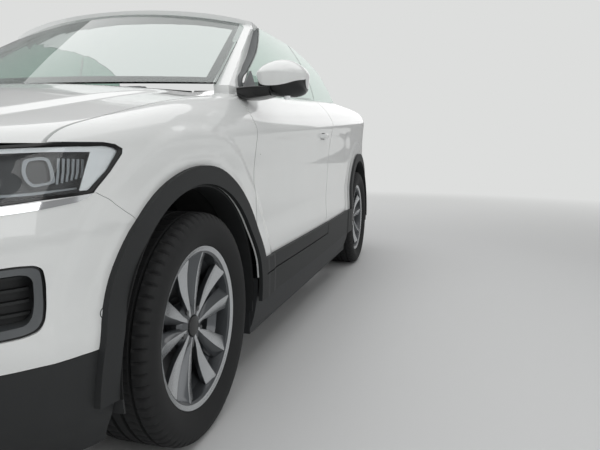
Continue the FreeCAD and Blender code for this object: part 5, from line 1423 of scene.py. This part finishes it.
benchSide = [(436, 334), (436, 480), (480, 507), (845, 478), (874, 334)]
benchBackSide = [(889, 350), (860, 500), (930, 985), (960, 996), (1002, 996), (1002, 350)]
benchHeadSide = [(938, 1006), (940, 1108), (962, 1126), (998, 1120), (1003, 1006)]
for name, outline, mould, seams in (("benchCushion", benchSide, benchMould, benchSeams),
                                    ("benchBack", benchBackSide, benchBackMould, benchBackSeams)):
    made = pad(name, outline, 0, 552, mould, seams, 24, 18)
    softMade.append(dress(made, seatCloth, "body", ["rear_bench"]))
    print(name + " sewn")
softMade += bothSides(lambda full: pad(full, benchHeadSide, 290, 108, None, None, 24, 10), "benchHead",
                      seatCloth, ["rear_bench"])
print("benchHead sewn")

top = dict(folds=(1118, 1205, 1300, 1392), foldDepth=7.0, foldWidth=20.0, sag=6.0)


def topMould(points):
    # the folded layers lie lower at their ends, and taper with the body
    points[:, 0] *= 1 - 0.05 * ramp(points[:, 1], 1200, 1488)
    points[:, 2] -= top["sag"] * ramp(np.abs(points[:, 0]), 380, 600) * ramp(points[:, 2], 1040, 1120)
    return points


def topFolds(points):
    upper = ramp(points[:, 2], 1080, 1120)
    wander = 7 * np.sin(points[:, 0] / 150.0) + 3 * np.sin(points[:, 0] / 61.0 + 1)
    depth = np.zeros(len(points))
    for y in top["folds"]:
        apart = (points[:, 1] - y - wander) / top["foldWidth"]
        depth = np.maximum(depth, top["foldDepth"] * np.exp(-apart ** 2 * 2))
    return depth * upper


topSide = [(1046, 900), (1036, 1118), (1100, 1166), (1250, 1180), (1440, 1164), (1480, 1136), (1472, 900)]
foldedTop = pad("foldedTop", topSide, 0, 606, topMould, topFolds, 40, 18)
dress(foldedTop, topCloth, "body", ("folded_top",))
print("soft goods made")

# Carried over from the frame.

# the body shell takes the near black colour, painted shade for its gaps and jambs
keptNodes = dict(
    body_shell=shellGapShade, grilles=glossBlack, tail_lamps=lampRed,
    windscreen_frame=paintWhite, windscreen=glassScreen, cowl_panel=claddingPlastic, quarter_glasses=glassSide,
    dashboard=cabinPlastic, centre_console=cabinPlastic,
    seat_frames=chassisSteel, arch_liners=linerFelt, engine_block=chassisSteel,
    front_subframe=chassisSteel, rear_axle=chassisSteel, exhaust=exhaustSteel, fuel_tank=cabinPlastic,
    steering_column=cabinPlastic, steering_wheel=cabinPlastic, knuckle_left=chassisSteel,
    knuckle_right=chassisSteel)
for name, material in keptNodes.items():
    coat(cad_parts[name], material)

# Floor, light and camera.

stage = dict(floor="#D5D6D6", wall="#DDDEDD", size=40.0, near=3.2, far=8.0, worldLight=0.33)
corner = [(-1, -1, 0), (1, -1, 0), (1, 1, 0), (-1, 1, 0)]
floorPiece = meshObject("floor", corner, [(0, 1, 2, 3)], scale=stage["size"])
# pale screed that fades into the backdrop's colour with distance, so that no horizon shows
floorMade, tree, shader, output = newMaterial("floorPaleScreed", stage["floor"], 0.75)
place = addNode(tree, "NewGeometry")
span = addNode(tree, "VectorMath", {"Vector": place.outputs["Position"]}, operation="LENGTH")
fade = addNode(tree, "MapRange", {"Value": span.outputs["Value"]}, From_Min=stage["near"],
               From_Max=stage["far"])
glow = addNode(tree, "Emission", Color=linear(stage["wall"]), Strength=1.0)
screed = addNode(tree, "TexNoise", {"Vector": position(tree, 250)}, Scale=1.0, Detail=3.0)
bumped(tree, shader, screed.outputs[0], 0.05, 0.2)
mixed = addNode(tree, "MixShader", {0: fade.outputs[0], 1: shader.outputs[0], 2: glow.outputs[0]})
tree.links.new(mixed.outputs[0], output.inputs["Surface"])
floorPiece.data.materials.append(floorMade)

world = bpy.data.worlds.new("studio")
scene.world = world
world.use_nodes = True
air = world.node_tree
air.nodes.clear()
# the camera and what it sees through glass get the backdrop's colour, the object a weak white light
ray = addNode(air, "LightPath")
plain = addNode(air, "Background", Color=linear("#FFFFFF"), Strength=stage["worldLight"])
seen = addNode(air, "Background", Color=linear(stage["wall"]), Strength=1.0)
share = addNode(air, "Math", {0: ray.outputs["Is Camera Ray"], 1: ray.outputs["Is Transmission Ray"]},
                operation="MAXIMUM")
blend = addNode(air, "MixShader", {0: share.outputs[0], 1: plain.outputs[0], 2: seen.outputs[0]})
addNode(air, "OutputWorld", {"Surface": blend.outputs[0]})

# softboxes: place, what they aim at, width, height, watts
for place, aim, width, height, power in (
        ((0.0, -0.3, 3.6), (0.0, 0.0, 0.0), 5.5, 7.5, 130), ((5.0, -3.5, 2.2), (0.3, -0.6, 0.6), 3.0, 2.6, 50),
        ((-5.0, -2.0, 2.4), (0.0, 0.0, 0.6), 3.0, 3.0, 32), ((0.0, 6.0, 2.6), (0.0, 0.0, 0.6), 5.0, 2.5, 40)):
    lampData = bpy.data.lights.new("softbox", "AREA")
    lampData.shape, lampData.size, lampData.size_y, lampData.energy = "RECTANGLE", width, height, power
    lampPiece = bpy.data.objects.new("softbox", lampData)
    lampPiece.visible_transmission = False
    lampPiece.location = place
    lampPiece.rotation_euler = (Vector(aim) - Vector(place)).to_track_quat("-Z", "Y").to_euler()
    scene.collection.objects.link(lampPiece)

view = dict(place=(1.555, -2.725, 0.853), pitch=8.06, yaw=15.6, lens=33.23)
cameraData = bpy.data.cameras.new("camera")
cameraData.lens, cameraData.sensor_width = view["lens"], 36.0
cameraPiece = bpy.data.objects.new("camera", cameraData)
scene.collection.objects.link(cameraPiece)
pitch, yaw = math.radians(view["pitch"]), math.radians(view["yaw"])
ahead = Vector((-math.sin(yaw) * math.cos(pitch), math.cos(yaw) * math.cos(pitch), -math.sin(pitch)))
cameraPiece.location = view["place"]
cameraPiece.rotation_euler = ahead.to_track_quat("-Z", "Y").to_euler()
cameraData.clip_start, cameraData.clip_end = 0.05, 200
scene.camera = cameraPiece
scene.view_settings.view_transform = "Standard"

print("scene made")
